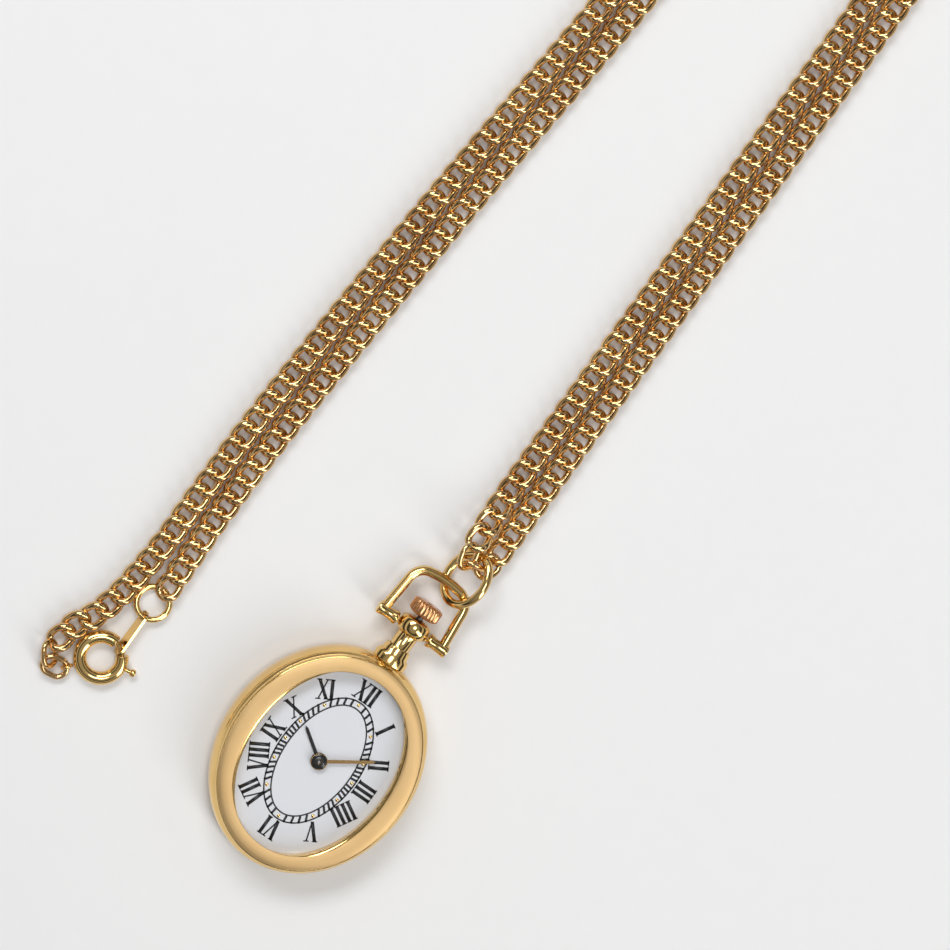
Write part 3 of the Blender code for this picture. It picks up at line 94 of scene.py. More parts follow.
# %% A wrapped socket and a surface that makes them
class Signal:
    def __init__(self, surface, socket):
        self.surface, self.socket = surface, socket

    def combine(self, operation, other, flipped=False):
        first, second = (other, self) if flipped else (self, other)
        return self.surface.node("Math", {"operation": operation}, {0: first, 1: second})

    def __add__(self, other):
        return self.combine("ADD", other)

    def __sub__(self, other):
        return self.combine("SUBTRACT", other)

    def __rsub__(self, other):
        return self.combine("SUBTRACT", other, flipped=True)

    def __mul__(self, other):
        return self.combine("MULTIPLY", other)

    def __pow__(self, other):
        return self.combine("POWER", other)

    __radd__ = __add__
    __rmul__ = __mul__


class Surface:
    """One material, whose nodes are made through node()."""

    def __init__(self, name):
        self.material = bpy.data.materials.new(name)
        self.material.use_nodes = True
        self.nodes, self.links = self.material.node_tree.nodes, self.material.node_tree.links
        self.shader = self.nodes["Principled BSDF"]
        self.place = self.node("TexCoord", {}, {}, "Object")

    def feed(self, socket, value):
        if isinstance(value, Signal):
            self.links.new(value.socket, socket)
        else:
            socket.default_value = value

    def node(self, kind, settings, inputs, output=0):
        made = self.nodes.new("ShaderNode" + kind)
        for key, value in settings.items():
            setattr(made, key, value)
        for key, value in inputs.items():
            self.feed(made.inputs[key], value)
        return Signal(self, made.outputs[output])

    def noise(self, scale, detail=3.0, stretch=(1, 1, 1)):
        """Noise whose scale is in features per millimetre."""
        spot = self.node("Mapping", {}, {"Vector": self.place, "Scale": [s / MM for s in stretch]})
        return self.node("TexNoise", {}, {"Vector": spot, "Scale": scale, "Detail": detail}, "Fac")

    def axis(self, letter):
        """The place along X, Y or Z in millimetres."""
        return self.node("SeparateXYZ", {}, {0: self.place}, letter) * (1 / MM)

    def span(self, value, low, high):
        """0 below low and 1 above high, for turning a noise into a mask."""
        return self.node("MapRange", {}, {0: value, 1: low, 2: high, 3: 0.0, 4: 1.0})

    def mix(self, factor, first, second):
        made = self.nodes.new("ShaderNodeMix")
        made.data_type = "RGBA"
        self.feed(made.inputs[0], factor)
        self.feed(made.inputs[6], first if isinstance(first, Signal) else (*first, 1))
        self.feed(made.inputs[7], second if isinstance(second, Signal) else (*second, 1))
        return Signal(self, made.outputs[2])

    def finish(self, colour, roughness, relief=None, depth=0.0, **constants):
        """Colour, roughness and relief vary over the surface; depth is the relief's in millimetres."""
        self.feed(self.shader.inputs["Base Color"], colour)
        self.feed(self.shader.inputs["Roughness"], roughness)
        for name, value in constants.items():
            self.shader.inputs[name.replace("_", " ")].default_value = value
        if relief is not None:
            bump = self.node("Bump", {}, {"Height": relief, "Distance": depth * MM, "Strength": 1.0})
            self.feed(self.shader.inputs["Normal"], bump)
        return self.material


# %% [markdown]
# ## Gold
# Gold plating on a watch comes polished on the rims and satin on the face of the bezel. Both share a colour that
# drifts a little, and differ in how fine scratches and roughness break up the reflection.

# %% Plated and plain metals
def metal(name, light, dark, roughness, scratch=0.0006, spread=0.08, grain=9.0):
    surface = Surface(name)
    cloud = surface.noise(0.22, 2)
    fine = surface.noise(grain, 4)
    hair = surface.noise(14, 2, (1, 0.06, 1))
    colour = surface.mix(surface.span(cloud, 0.35, 0.7), light, dark)
    shine = roughness + (cloud - 0.5) * spread + (fine - 0.5) * (spread / 2) + surface.span(hair, 0.66, 0.8) * 0.05
    return surface.finish(colour, shine, fine + hair, scratch, Metallic=1.0)


def satin_gold():
    """A bezel is brushed while it turns, so the fine lines run round it."""
    surface = Surface("satin gold")
    x, y = surface.axis("X"), surface.axis("Y")
    round_place = surface.node("CombineXYZ", {}, {0: (x * x + y * y * 0.7) ** 0.5, 1: 0.0, 2: surface.axis("Z")})
    lines = surface.node("TexNoise", {}, {"Vector": round_place, "Scale": 11.0, "Detail": 3.0}, "Fac")
    speck = surface.noise(16, 3)
    cloud = surface.noise(0.16, 2)
    colour = surface.mix(cloud, (0.80, 0.57, 0.29), (0.71, 0.47, 0.21))
    return surface.finish(colour, 0.42 + lines * 0.14 + speck * 0.08, lines + speck * 0.6, 0.004, Metallic=1.0)


GOLD = metal("polished gold", (0.86, 0.59, 0.24), (0.79, 0.52, 0.19), 0.10)
SATIN = satin_gold()
CHAIN_GOLD = metal("chain gold", (0.80, 0.54, 0.25), (0.66, 0.40, 0.17), 0.11, 0.001, 0.08)
CROWN_GOLD = metal("coppery gold", (0.72, 0.38, 0.18), (0.60, 0.30, 0.13), 0.22, 0.001)
BRASS = metal("movement brass", (0.76, 0.60, 0.30), (0.70, 0.52, 0.24), 0.26, 0.002)
STEEL = metal("turned steel", (0.66, 0.66, 0.66), (0.56, 0.56, 0.58), 0.18, 0.001)
BLUED_STEEL = metal("dark stem steel", (0.13, 0.11, 0.10), (0.07, 0.06, 0.06), 0.32, 0.001)
BRONZE = metal("bronze hand", (0.46, 0.29, 0.12), (0.36, 0.21, 0.08), 0.26, 0.001)
MAGNET = metal("sintered magnet", (0.23, 0.23, 0.24), (0.15, 0.15, 0.16), 0.5, 0.003)


# %% [markdown]
# ## Everything that isn't bare metal
# The dial is enamel, the hands are lacquered, and inside there is a moulded holder, a printed board and a wound
# coil. Each one gets the texture that its making leaves, and the coil is also painted darker in the grooves between
# its turns as shade.

# %% Stripes, enamel, plastics, glass and copper
def striped_nickel():
    surface = Surface("striped nickel")
    wave = surface.node("Math", {"operation": "SINE"}, {0: (surface.axis("X") + surface.axis("Y")) * 5.0})
    fine = surface.noise(12, 3)
    colour = surface.mix(surface.span(wave, -1, 1), (0.64, 0.63, 0.60), (0.78, 0.77, 0.74))
    return surface.finish(colour, 0.22 + wave * 0.05 + fine * 0.06, wave + fine * 0.3, 0.002, Metallic=1.0)


def soft_finish(name, light, dark, roughness, grain, depth, **constants):
    surface = Surface(name)
    cloud, fine = surface.noise(0.3, 2), surface.noise(grain, 4)
    colour = surface.mix(cloud * 0.6 + fine * 0.4, light, dark)
    return surface.finish(colour, roughness + fine * 0.08, fine, depth, **constants)


def board_finish():
    """Copper tracks show as lighter lines under the green mask."""
    surface = Surface("green board")
    across = surface.node("Math", {"operation": "FRACT"}, {0: surface.axis("X") * 1.6})
    track = surface.span(across, 0.44, 0.5) * (1 - surface.span(across, 0.62, 0.68))
    fine = surface.noise(10, 3)
    colour = surface.mix(track, (0.03, 0.16, 0.08), (0.10, 0.34, 0.16))
    return surface.finish(colour, 0.3 + fine * 0.1, track + fine * 0.2, 0.01)


def coil_finish():
    """Wire turns lie side by side round the core, and the colour is painted darker in the grooves between turns and
    lighter on their crests, as shade and highlight.
    """
    surface = Surface("wound copper with painted groove shade")
    turns = surface.node("Math", {"operation": "SINE"}, {0: surface.axis("X") * 70.0})
    cloud = surface.noise(1.5, 2)
    # painted shade and highlight: the copper is darker in the grooves between turns and lighter on their crests, on
    # the same wave as the relief
    colour = surface.mix(surface.span(turns, -1, 1), (0.38, 0.14, 0.05), (0.76, 0.36, 0.17))
    return surface.finish(colour, 0.28 + cloud * 0.12, turns, 0.02, Metallic=0.85)


def crystal_finish():
    """Clear where it is looked through, and shining at a slant."""
    surface = Surface("clear crystal")
    slant = surface.node("LayerWeight", {}, {"Blend": 0.35}, "Facing")
    fine = surface.noise(3, 2)
    surface.feed(surface.shader.inputs["Alpha"], 0.03 + slant ** 4 * 0.5)
    return surface.finish((0.05, 0.055, 0.06, 1), 0.01 + fine * 0.02)


NICKEL = striped_nickel()
ENAMEL = soft_finish("white enamel", (0.90, 0.92, 0.96), (0.86, 0.88, 0.93), 0.22, 5, 0.001, Coat_Weight=0.3)
PRINT = soft_finish("black print", (0.012, 0.012, 0.014), (0.025, 0.025, 0.03), 0.3, 8, 0.001)
LACQUER = soft_finish("black lacquer", (0.012, 0.012, 0.012), (0.03, 0.028, 0.026), 0.16, 8, 0.001)
RUBBER = soft_finish("gasket rubber", (0.022, 0.022, 0.022), (0.045, 0.045, 0.045), 0.6, 9, 0.006)
HOLDER = soft_finish("moulded holder", (0.84, 0.84, 0.81), (0.76, 0.76, 0.73), 0.42, 6, 0.006)
RESIN = soft_finish("chip resin", (0.02, 0.02, 0.02), (0.05, 0.05, 0.05), 0.4, 12, 0.004)
BOARD, COPPER, GLASS = board_finish(), coil_finish(), crystal_finish()
print(len(bpy.data.materials), "materials")


# %% [markdown]
# ## Shaping helpers
# Most of a watch is turned. Here a profile of (half width, half height, level) is spun in a circle, and then each
# ring is stretched to its own oval, so that rims keep an even width all the way round.

# %% Ovals, turned shapes and wires
STEM_Z = (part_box("stem")[0].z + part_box("stem")[1].z) / 2 / MM
ALONG_Y = Matrix.Translation((0, 0, STEM_Z)) @ Matrix.Rotation(math.radians(-90), 4, "X")


def turned(profile, steps=96, closed=True):
    """Profile points are (half_x, half_y, z) in millimetres; an open profile gets flat ends."""
    shape = bmesh.new()
    stretch = shape.verts.layers.float.new("stretch")
    verts = []
    for half_x, half_y, level in profile:
        vert = shape.verts.new((half_x, 0, level))
        vert[stretch] = half_y / half_x
        verts.append(vert)
    for a, b in zip(verts, verts[1:] + (verts[:1] if closed else [])):
        shape.edges.new((a, b))
    bmesh.ops.spin(shape, geom=shape.verts[:] + shape.edges[:], cent=(0, 0, 0), axis=(0, 0, 1),
                   angle=2 * math.pi, steps=steps, use_merge=True)
    for vert in shape.verts:
        vert.co.y *= vert[stretch]
    bmesh.ops.remove_doubles(shape, verts=shape.verts, dist=1e-4)
    bmesh.ops.holes_fill(shape, edges=[e for e in shape.edges if e.is_boundary], sides=0)
    bmesh.ops.recalc_face_normals(shape, faces=shape.faces)
    return shape


def round_profile(profile):
    return [(max(radius, 0.01), max(radius, 0.01), level) for radius, level in profile]


def smooth(points, between=6, closed=False):
    """A smooth curve through points."""
    points = [Vector(p) for p in points]
    if closed:
        ends = points[-1:] + points + points[:2]
    else:
        ends = [points[0] * 2 - points[1]] + points + [points[-1] * 2 - points[-2]]
    curve = []
    for a, b, c, d in zip(ends, ends[1:], ends[2:], ends[3:]):
        for step in range(between):
            t = step / between
            curve.append(0.5 * (2 * b + (c - a) * t + (2 * a - 5 * b + 4 * c - d) * t ** 2
                                + (3 * b - 3 * c + d - a) * t ** 3))
    return curve if closed else curve + [points[-1]]


def wire(points, radius, closed, sides=3):
    """A round wire along points, made by a curve with a bevel and taken over as a mesh."""
    curve = bpy.data.curves.new("wire", "CURVE")
    curve.dimensions, curve.bevel_depth = "3D", radius
    curve.bevel_resolution, curve.use_fill_caps = sides, True
    spline = curve.splines.new("POLY")
    spline.points.add(len(points) - 1)
    for spot, point in zip(spline.points, points):
        spot.co = (*point, 1)
    spline.use_cyclic_u = closed
    holder = bpy.data.objects.new("wire", curve)
    mesh = bpy.data.meshes.new_from_object(holder)
    shape = bmesh.new()
    shape.from_mesh(mesh)
    bpy.data.objects.remove(holder)
    bpy.data.curves.remove(curve)
    bpy.data.meshes.remove(mesh)
    bmesh.ops.remove_doubles(shape, verts=shape.verts, dist=1e-4)
    bmesh.ops.recalc_face_normals(shape, faces=shape.faces)
    return shape


def together(*shapes):
    whole = bmesh.new()
    for shape in shapes:
        scratch = bpy.data.meshes.new("scratch")
        shape.to_mesh(scratch)
        whole.from_mesh(scratch)
        shape.free()
        bpy.data.meshes.remove(scratch)
    return whole


def placed(shape, matrix):
    shape.transform(matrix)
    return shape


def piece(name, shape, body, finish, stands_for=(), edge=0.05, sharp=32):
    """Makes a finished piece of a shape in millimetres; its sharp edges get a small round."""
    shape.transform(Matrix.Scale(MM, 4))
    mesh = bpy.data.meshes.new(name)
    shape.to_mesh(mesh)
    shape.free()
    mesh.materials.clear()
    mesh.materials.append(finish)
    mesh.polygons.foreach_set("material_index", [0] * len(mesh.polygons))
    mesh.shade_smooth()
    made = bpy.data.objects.new(name, mesh)
    bpy.context.scene.collection.objects.link(made)
    if edge:
        bevel = made.modifiers.new("edge", "BEVEL")
        bevel.width, bevel.segments = edge * MM, 2
        bevel.limit_method, bevel.angle_limit = "ANGLE", math.radians(sharp)
        bevel.harden_normals = True
    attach(made, body)
    if stands_for:
        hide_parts(*stands_for)
    return made


# %% [markdown]
# ## Case, bezel, back and crystal
# The case is a band that bulges a little between its flat lips, which a smooth curve through a few levels gives.
# The bezel is satin on its face, with a polished step falling to the crystal.

# %% The case and its glass
CASE = [v / MM for v in (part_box("case_body")[1].x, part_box("case_body")[1].y)]
FLANGE = 0.25
OPEN = [v / MM - FLANGE for v in (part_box("crystal")[1].x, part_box("crystal")[1].y)]
CASE_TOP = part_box("case_body")[1].z / MM
BEZEL_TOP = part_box("bezel")[1].z / MM
RIM_BOTTOM, RIM_TOP, RIM_INSET = 5.33, 6.2, 0.98
BEZEL_LIP, LIP_TOP = 0.42, 6.27
CASE_STEPS = 180


def inset(amount, level):
    return (CASE[0] - amount, CASE[1] - amount, level)


def beyond(amount, level):
    return (OPEN[0] + amount, OPEN[1] + amount, level)


side = smooth([inset(0.95, 0.45), inset(0.36, 1.0), inset(0.07, 1.9), inset(0.0, 2.9), inset(0.06, 3.8),
               inset(0.3, 4.7), inset(0.75, CASE_TOP)], 4)
piece("case_band", turned(side + [beyond(0.1, CASE_TOP), beyond(0.1, 4.0), beyond(0.75, 4.0), beyond(0.75, 0.8),
                                  beyond(1.35, 0.8), beyond(1.35, 0.45)], CASE_STEPS),
      "case", GOLD, ["case_body"])
rim = smooth([inset(0.75, RIM_BOTTOM), inset(0.70, 5.6), inset(0.74, 5.9), inset(0.84, 6.1),
              inset(RIM_INSET, RIM_TOP)], 5)
piece("bezel_rim", turned(rim + [inset(RIM_INSET, RIM_BOTTOM)], CASE_STEPS), "case", GOLD, edge=0)
swell = smooth([inset(RIM_INSET, RIM_TOP), inset(1.5, 6.36), inset(2.2, BEZEL_TOP), inset(2.9, 6.37),
                beyond(BEZEL_LIP, LIP_TOP)], 5)
piece("bezel_face", turned([inset(RIM_INSET, RIM_BOTTOM)] + swell + [beyond(BEZEL_LIP, RIM_BOTTOM)], CASE_STEPS),
      "case", SATIN, ["bezel"], edge=0)
piece("bezel_wall", turned([beyond(BEZEL_LIP, 5.77), beyond(BEZEL_LIP, LIP_TOP), beyond(0.2, 6.2),
                            beyond(0.06, 6.05), beyond(0.0, 5.77)], CASE_STEPS),
      "case", GOLD, edge=0.02)
piece("back_cover", turned([beyond(0.72, 0.42), inset(0.88, 0.42), inset(0.90, 0.24), inset(0.98, 0.1),
                            inset(1.35, 0.0), beyond(0.0, 0.0), beyond(-4.5, 0.0), beyond(-8.5, 0.0),
                            beyond(-8.5, 0.42), beyond(0.0, 0.42)], CASE_STEPS),
      "case", GOLD, ["case_back"], edge=0.03)
DOME_START, DOME_RISE, DOME_STEP, DOME_RINGS = 6.16, 0.14, 1.55, 6
dome = [beyond(-0.2 - step * DOME_STEP, DOME_START + DOME_RISE * (1 - (1 - step / DOME_RINGS) ** 2))
        for step in range(DOME_RINGS + 1)]
piece("domed_crystal", turned([beyond(FLANGE, 5.35), beyond(FLANGE, 5.72), beyond(-0.05, 5.72),
                               beyond(-0.05, 6.1)] + dome, CASE_STEPS, closed=False),
      "case", GLASS, ["crystal"], edge=0.02)
print("case", [round(2 * v, 2) for v in CASE], "mm, opening", [round(2 * v, 2) for v in OPEN], "mm")

# %% [markdown]
# ## Dial
# The numerals are built of plain strokes, thick ones and thin ones with small serifs, as print on a dial is. Each
# stroke is a unit cube that one matrix scales and slants. Many dials write four as IIII, so it balances VIII.

# %% Strokes and numerals
DIAL_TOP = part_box("dial")[1].z / MM
PRINT_DEPTH = 0.02
NUMERAL_HEIGHT = 2.75
THICK, THIN, SERIF, SERIF_LENGTH, SLANT_MARGIN = 0.46, 0.2, 0.16, 0.7, 0.24
NUMERAL_OVAL = (7.4, 11.0)
PRINT_GAP = 0.005
WIDTHS = {"I": 0.78, "V": 1.62, "X": 1.62}
NUMERALS = ["XII", "I", "II", "III", "IIII", "V", "VI", "VII", "VIII", "IX", "X", "XI"]


def stroke(shape, x_low, x_high, low, high, thick, place):
    """A slanted bar from x_low at its foot to x_high at its head."""
    slant = Matrix(((thick, x_high - x_low, 0, (x_low + x_high) / 2), (0, high - low, 0, (low + high) / 2),
                    (0, 0, PRINT_DEPTH, 0), (0, 0, 0, 1)))
    bmesh.ops.create_cube(shape, size=1, matrix=place @ slant)


def letter(shape, sign, x, place):
    half = NUMERAL_HEIGHT / 2
    reach = WIDTHS[sign] / 2 - SLANT_MARGIN
    strokes = {"I": [(0, 0, THICK)], "V": [(0, -reach, THICK), (0, reach, THIN)],
               "X": [(reach, -reach, THICK), (-reach, reach, THIN)]}[sign]
    feet = {"I": [(0, -1), (0, 1)], "V": [(-reach, 1), (reach, 1)],
            "X": [(-reach, 1), (reach, 1), (-reach, -1), (reach, -1)]}[sign]
    for low_x, high_x, thick in strokes:
        stroke(shape, x + low_x, x + high_x, -half, half, thick, place)
    for foot_x, side in feet:
        edge = side * (half - SERIF / 2)
        stroke(shape, x + foot_x, x + foot_x, edge - SERIF / 2, edge + SERIF / 2, SERIF_LENGTH, place)


def on_oval(angle, half_x, half_y):
    """Where a ray at a clock angle meets an oval."""
    across, up = math.sin(angle), math.cos(angle)
    reach = 1 / math.hypot(across / half_x, up / half_y)
    return Vector((across * reach, up * reach, 0))


numerals = bmesh.new()
for hour, word in enumerate(NUMERALS):
    angle = math.radians(30 * hour)
    centre = on_oval(angle, *NUMERAL_OVAL)
    on_dial = Matrix.Translation((centre.x, centre.y, DIAL_TOP + PRINT_DEPTH / 2 + PRINT_GAP))
    place = on_dial @ Matrix.Rotation(-angle, 4, "Z")
    width = sum(WIDTHS[sign] for sign in word)
    x = -width / 2
    for sign in word:
        letter(numerals, sign, x + WIDTHS[sign] / 2, place)
        x += WIDTHS[sign]
piece("dial_numerals", numerals, "case", PRINT, edge=0)

# %% [markdown]
# Inside the numerals lies the minute track: two fine ovals, ticks between them, and a small gold dot at each hour.

# %% Dial plate and minute track
TRACK_OUT, TRACK_IN, LINE, TICK = (5.88, 9.53), (4.92, 8.57), 0.2, 0.3
DIAL_THICK, HUB_HOLE, DOT_R, DOT_FLATNESS = 0.4, 0.61, 0.24, 0.35
low, high = DIAL_TOP + PRINT_GAP, DIAL_TOP + PRINT_GAP + PRINT_DEPTH
dial_edge = [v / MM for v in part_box("dial")[1][:2]]
plate = turned([(HUB_HOLE, HUB_HOLE, DIAL_TOP - DIAL_THICK), (*dial_edge, DIAL_TOP - DIAL_THICK),
                (*dial_edge, DIAL_TOP), (HUB_HOLE, HUB_HOLE, DIAL_TOP)], 120)
piece("dial_plate", plate, "case", ENAMEL, ["dial"], edge=0.02)
ovals = [turned([(x - LINE, y - LINE, low), (x, y, low), (x, y, high), (x - LINE, y - LINE, high)], 120)
         for x, y in (TRACK_OUT, TRACK_IN)]
ticks, dots = bmesh.new(), bmesh.new()
for minute in range(60):
    angle = math.radians(6 * minute)
    outer, inner = on_oval(angle, *TRACK_OUT), on_oval(angle, *TRACK_IN)
    middle, length = (outer + inner) / 2, (outer - inner).length
    spot = Matrix.Translation((middle.x, middle.y, low + PRINT_DEPTH / 2)) @ Matrix.Rotation(-angle, 4, "Z")
    if minute % 5:
        bmesh.ops.create_cube(ticks, size=1, matrix=spot @ Matrix.Diagonal((TICK, length, PRINT_DEPTH, 1)))
    else:
        bmesh.ops.create_uvsphere(dots, u_segments=12, v_segments=6, radius=DOT_R,
                                  matrix=spot @ Matrix.Diagonal((1, 1, DOT_FLATNESS, 1)))
piece("minute_track", together(*ovals, ticks), "case", PRINT, edge=0)
piece("hour_dots", dots, "case", GOLD, edge=0)
print("dial printed with", len(NUMERALS), "numerals")

# %% [markdown]
# ## Hand hub
# A black domed cap with a bronze rim sits over both hands, and leaves the end of the arbor showing.

# %% Hub cap
cap = round_profile([(0.3, 4.63), (1.08, 4.63), (1.1, 4.72), (0.9, 4.86), (0.6, 4.93), (0.3, 4.94)])
piece("hub_cap", turned(cap, 48), "minute_arbor", LACQUER, edge=0.02)
HUB_RIM_R, HUB_RIM_Z, HUB_RIM_WIRE, HUB_RIM_POINTS = 1.07, 4.70, 0.07, 48
angles = [math.radians(360 / HUB_RIM_POINTS * k) for k in range(HUB_RIM_POINTS)]
rim_ring = wire([Vector((HUB_RIM_R * math.cos(a), HUB_RIM_R * math.sin(a), HUB_RIM_Z)) for a in angles],
                HUB_RIM_WIRE, True)
piece("hub_rim", rim_ring, "minute_arbor", BRONZE, edge=0)

# %% [markdown]
# ## Pendant and crown
# The pendant is a neck and a barrel head, both turned. The crown is turned too, and its flutes come from pulling
# its outer ring in and out as a cosine of the angle.

# %% Pendant, stem and crown
FOOT_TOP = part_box("pendant_foot")[1].y / MM
HEAD_START, HEAD_TOP = (v.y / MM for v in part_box("pendant_head"))
CROWN_START, CROWN_END = (v.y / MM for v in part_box("crown"))
CROWN_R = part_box("crown")[1].x / MM
FLUTES, FLUTE_DEPTH = 22, 0.16
STEM_BORE, FOOT_BOTTOM, HEAD_R = 0.93, 15.6, 2.24
foot_collar = [(STEM_BORE, STEM_BORE, FOOT_BOTTOM), (2.4, 1.75, FOOT_BOTTOM), (2.4, 1.75, 16.8), (2.2, 1.7, 17.1),
               (1.95, 1.65, 17.3), (1.85, 1.6, 17.9), (1.75, 1.55, FOOT_TOP), (STEM_BORE, STEM_BORE, FOOT_TOP)]
piece("foot_collar", placed(turned(foot_collar, 72), ALONG_Y), "case", GOLD, ["pendant_foot"])
neck = [(STEM_BORE, FOOT_TOP + 0.03), (1.5, FOOT_TOP + 0.03), (1.45, FOOT_TOP + 0.12), (1.45, HEAD_START - 0.03),
        (STEM_BORE, HEAD_START - 0.03)]
piece("turned_neck", placed(turned(round_profile(neck), 64), ALONG_Y), "case", GOLD,
      ["pendant_neck"])
middle = (HEAD_START + HEAD_TOP) / 2
barrel = [(p.x, p.y) for p in smooth([(1.5, HEAD_START, 0), (2.05, HEAD_START + 0.3, 0), (HEAD_R, middle, 0),
                                      (2.05, HEAD_TOP - 0.3, 0), (1.5, HEAD_TOP, 0)], 6)]
barrel = [(STEM_BORE, HEAD_START)] + barrel + [(STEM_BORE, HEAD_TOP)]
piece("barrel_head", placed(turned(round_profile(barrel), 72), ALONG_Y), "case", GOLD,
      ["pendant_head"])
crown = turned(round_profile([(0.48, CROWN_START), (CROWN_R - 0.4, CROWN_START), (CROWN_R - 0.05, CROWN_START + 0.22),
                              (CROWN_R, CROWN_START + 0.4), (CROWN_R, CROWN_END - 0.4),
                              (CROWN_R - 0.05, CROWN_END - 0.22), (CROWN_R - 0.45, CROWN_END - 0.02),
                              (0.48, CROWN_END)]), FLUTES * 8)
for vert in crown.verts:
    radius = math.hypot(vert.co.x, vert.co.y)
    if radius > CROWN_R - 0.1:
        wave = 0.5 - 0.5 * math.cos(FLUTES * math.atan2(vert.co.y, vert.co.x))
        vert.co.x *= 1 - FLUTE_DEPTH * wave ** 2 / radius
        vert.co.y *= 1 - FLUTE_DEPTH * wave ** 2 / radius
piece("fluted_crown", placed(crown, ALONG_Y), "crown", CROWN_GOLD, ["crown"], edge=0.03, sharp=50)
print("crown has", FLUTES, "flutes")

# %% [markdown]
# ## Bow and oval ring
# The bow is one wire bent like a stirrup, with a boss at each foot that turns on a pin in the head. It lies back
# on a slight slope, because its arch rests in the oval ring.

# %% Bow and ring
PIVOT_Y = (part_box("bow_pin_left")[0].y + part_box("bow_pin_left")[1].y) / 2 / MM
PIVOT = Matrix.Translation((0, PIVOT_Y, STEM_Z))
BOW_SLOPE, BOW_WIRE, FOOT_X = -4.6, 0.68, 4.75
RING_TILT, RING_WIRE, RING_HALF = -41, 0.6, (2.95, 3.65)
BOW_LAY = PIVOT @ Matrix.Rotation(math.radians(BOW_SLOPE), 4, "X")


def rounded(corners, radii, steps=10):
    """An open path with each inner corner rounded to its radius."""
    corners = [Vector((*c, 0)) for c in corners]
    points = [corners[0]]
    for k, radius in enumerate(radii, start=1):
        back = (corners[k - 1] - corners[k]).normalized()
        forth = (corners[k + 1] - corners[k]).normalized()
        half = back.angle(forth) / 2
        centre = corners[k] + (back + forth).normalized() * (radius / math.sin(half))
        start = corners[k] + back * (radius / math.tan(half)) - centre
        end = corners[k] + forth * (radius / math.tan(half)) - centre
        points += [centre + start.lerp(end, s / steps).normalized() * radius for s in range(steps + 1)]
    return points + [corners[-1]]


def boss(side, profile, steps=40):
    return placed(turned(round_profile(profile), steps),
                  BOW_LAY @ Matrix.Rotation(math.radians(90 * side), 4, "Y"))


arch = rounded([(FOOT_X, 0), (4.1, 7.3), (0, 7.85), (-4.1, 7.3), (-FOOT_X, 0)], (2.3, 12.0, 2.3))
foot = [(0.41, 2.5), (0.85, 2.5), (0.95, 2.62), (0.95, 2.95), (0.8, 3.3), (0.8, 4.3), (0.9, 5.0), (0.95, 5.25),
        (0.85, 5.5), (0.5, 5.6), (0.01, 5.6), (0.01, 4.4), (0.41, 4.4)]
piece("stirrup_bow", together(placed(wire(arch, BOW_WIRE, False, 5), BOW_LAY), boss(-1, foot), boss(1, foot)),
      "bow", GOLD, ["bow"], edge=0.04, sharp=40)
ring_low, ring_high = (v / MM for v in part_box("oval_ring"))
ring_centre = (ring_low + ring_high) / 2
oval_path = [Vector((RING_HALF[0] * math.cos(a), RING_HALF[1] * math.sin(a), 0)) for a in
             [2 * math.pi * k / 96 for k in range(96)]]
RING_LAY = Matrix.Translation(ring_centre) @ Matrix.Rotation(math.radians(RING_TILT), 4, "Y")
piece("hanging_ring", placed(wire(oval_path, RING_WIRE, True, 5), RING_LAY), "pendant_ring", GOLD,
      ["oval_ring"], edge=0)
print("ring centre", [round(v, 2) for v in ring_centre])

# %% [markdown]
# ## Curb chain
# A curb link is an oval of wire that is twisted from end to end. Its far end then leans across the next link's
# near end, so the links hook together and the chain still lies flat. One link has only a few dozen faces, and a
# subdivision surface rounds it.

# %% One link, and a strand of links
PITCH, LINK_LENGTH, LINK_WIDTH, LINK_WIRE = 2.6, 4.45, 3.74, 0.48
LINK_TWIST, LINK_POINTS = 38, 14
SHRINK = 1.35    # rounding a coarse wire makes it thinner, so it starts this much thicker


def link_line(length, width, wire_r, count, twist=0.0):
    """The centre line of one link, long along X, twisted about X from end to end."""
    line = []
    for k in range(count):
        angle = 2 * math.pi * k / count
        x = (width / 2 - wire_r) * math.cos(angle) + (length - width) / 2 * math.tanh(6 * math.cos(angle))
        y = (width / 2 - wire_r) * math.sin(angle)
        turn = twist * x / (length / 2 - wire_r)
        line.append(Vector((x, y * math.cos(turn), y * math.sin(turn))))
    return line


def link_places(route, ahead, behind):
    """A place on the route for each link, with X along the chain."""
    curve = smooth(route, 24)
    start = curve[0] - (curve[1] - curve[0]).normalized() * behind
    end = curve[-1] + (curve[-1] - curve[-2]).normalized() * ahead
    curve = [start] + curve + [end]
    lengths = [0.0]
    for a, b in zip(curve, curve[1:]):
        lengths.append(lengths[-1] + (b - a).length)
    count = round(lengths[-1] / PITCH)
    places, k = [], 0
    for number in range(count + 1):
        target = lengths[-1] * number / count
        while k < len(lengths) - 2 and lengths[k + 1] < target:
            k += 1
        spot = curve[k].lerp(curve[k + 1], (target - lengths[k]) / max(1e-9, lengths[k + 1] - lengths[k]))
        along = (curve[k + 1] - curve[k]).normalized()
        across = Vector((0, 0, 1)).cross(along).normalized()
        up = along.cross(across)
        lay = Matrix((along, across, up)).transposed().to_4x4()
        places.append(Matrix.Translation(spot) @ lay)
    return places


def strand(name, route, ahead, behind, stands_for):
    line = link_line(LINK_LENGTH, LINK_WIDTH, LINK_WIRE, LINK_POINTS, math.radians(LINK_TWIST))
    model = wire(line, LINK_WIRE * SHRINK, True, 1)
    scratch = bpy.data.meshes.new("link")
    model.to_mesh(scratch)
    model.free()
    chain = bmesh.new()
    places = link_places(route, ahead, behind)
    for place in places:
        first = len(chain.verts)
        chain.from_mesh(scratch)
        chain.verts.ensure_lookup_table()
        bmesh.ops.transform(chain, matrix=place, verts=chain.verts[first:])
    bpy.data.meshes.remove(scratch)
    made = piece(name, chain, "chain", CHAIN_GOLD, stands_for, edge=0)
    rounding = made.modifiers.new("round", "SUBSURF")
    rounding.levels = rounding.render_levels = 1
    print(name, "has", len(places), "links")
    return made
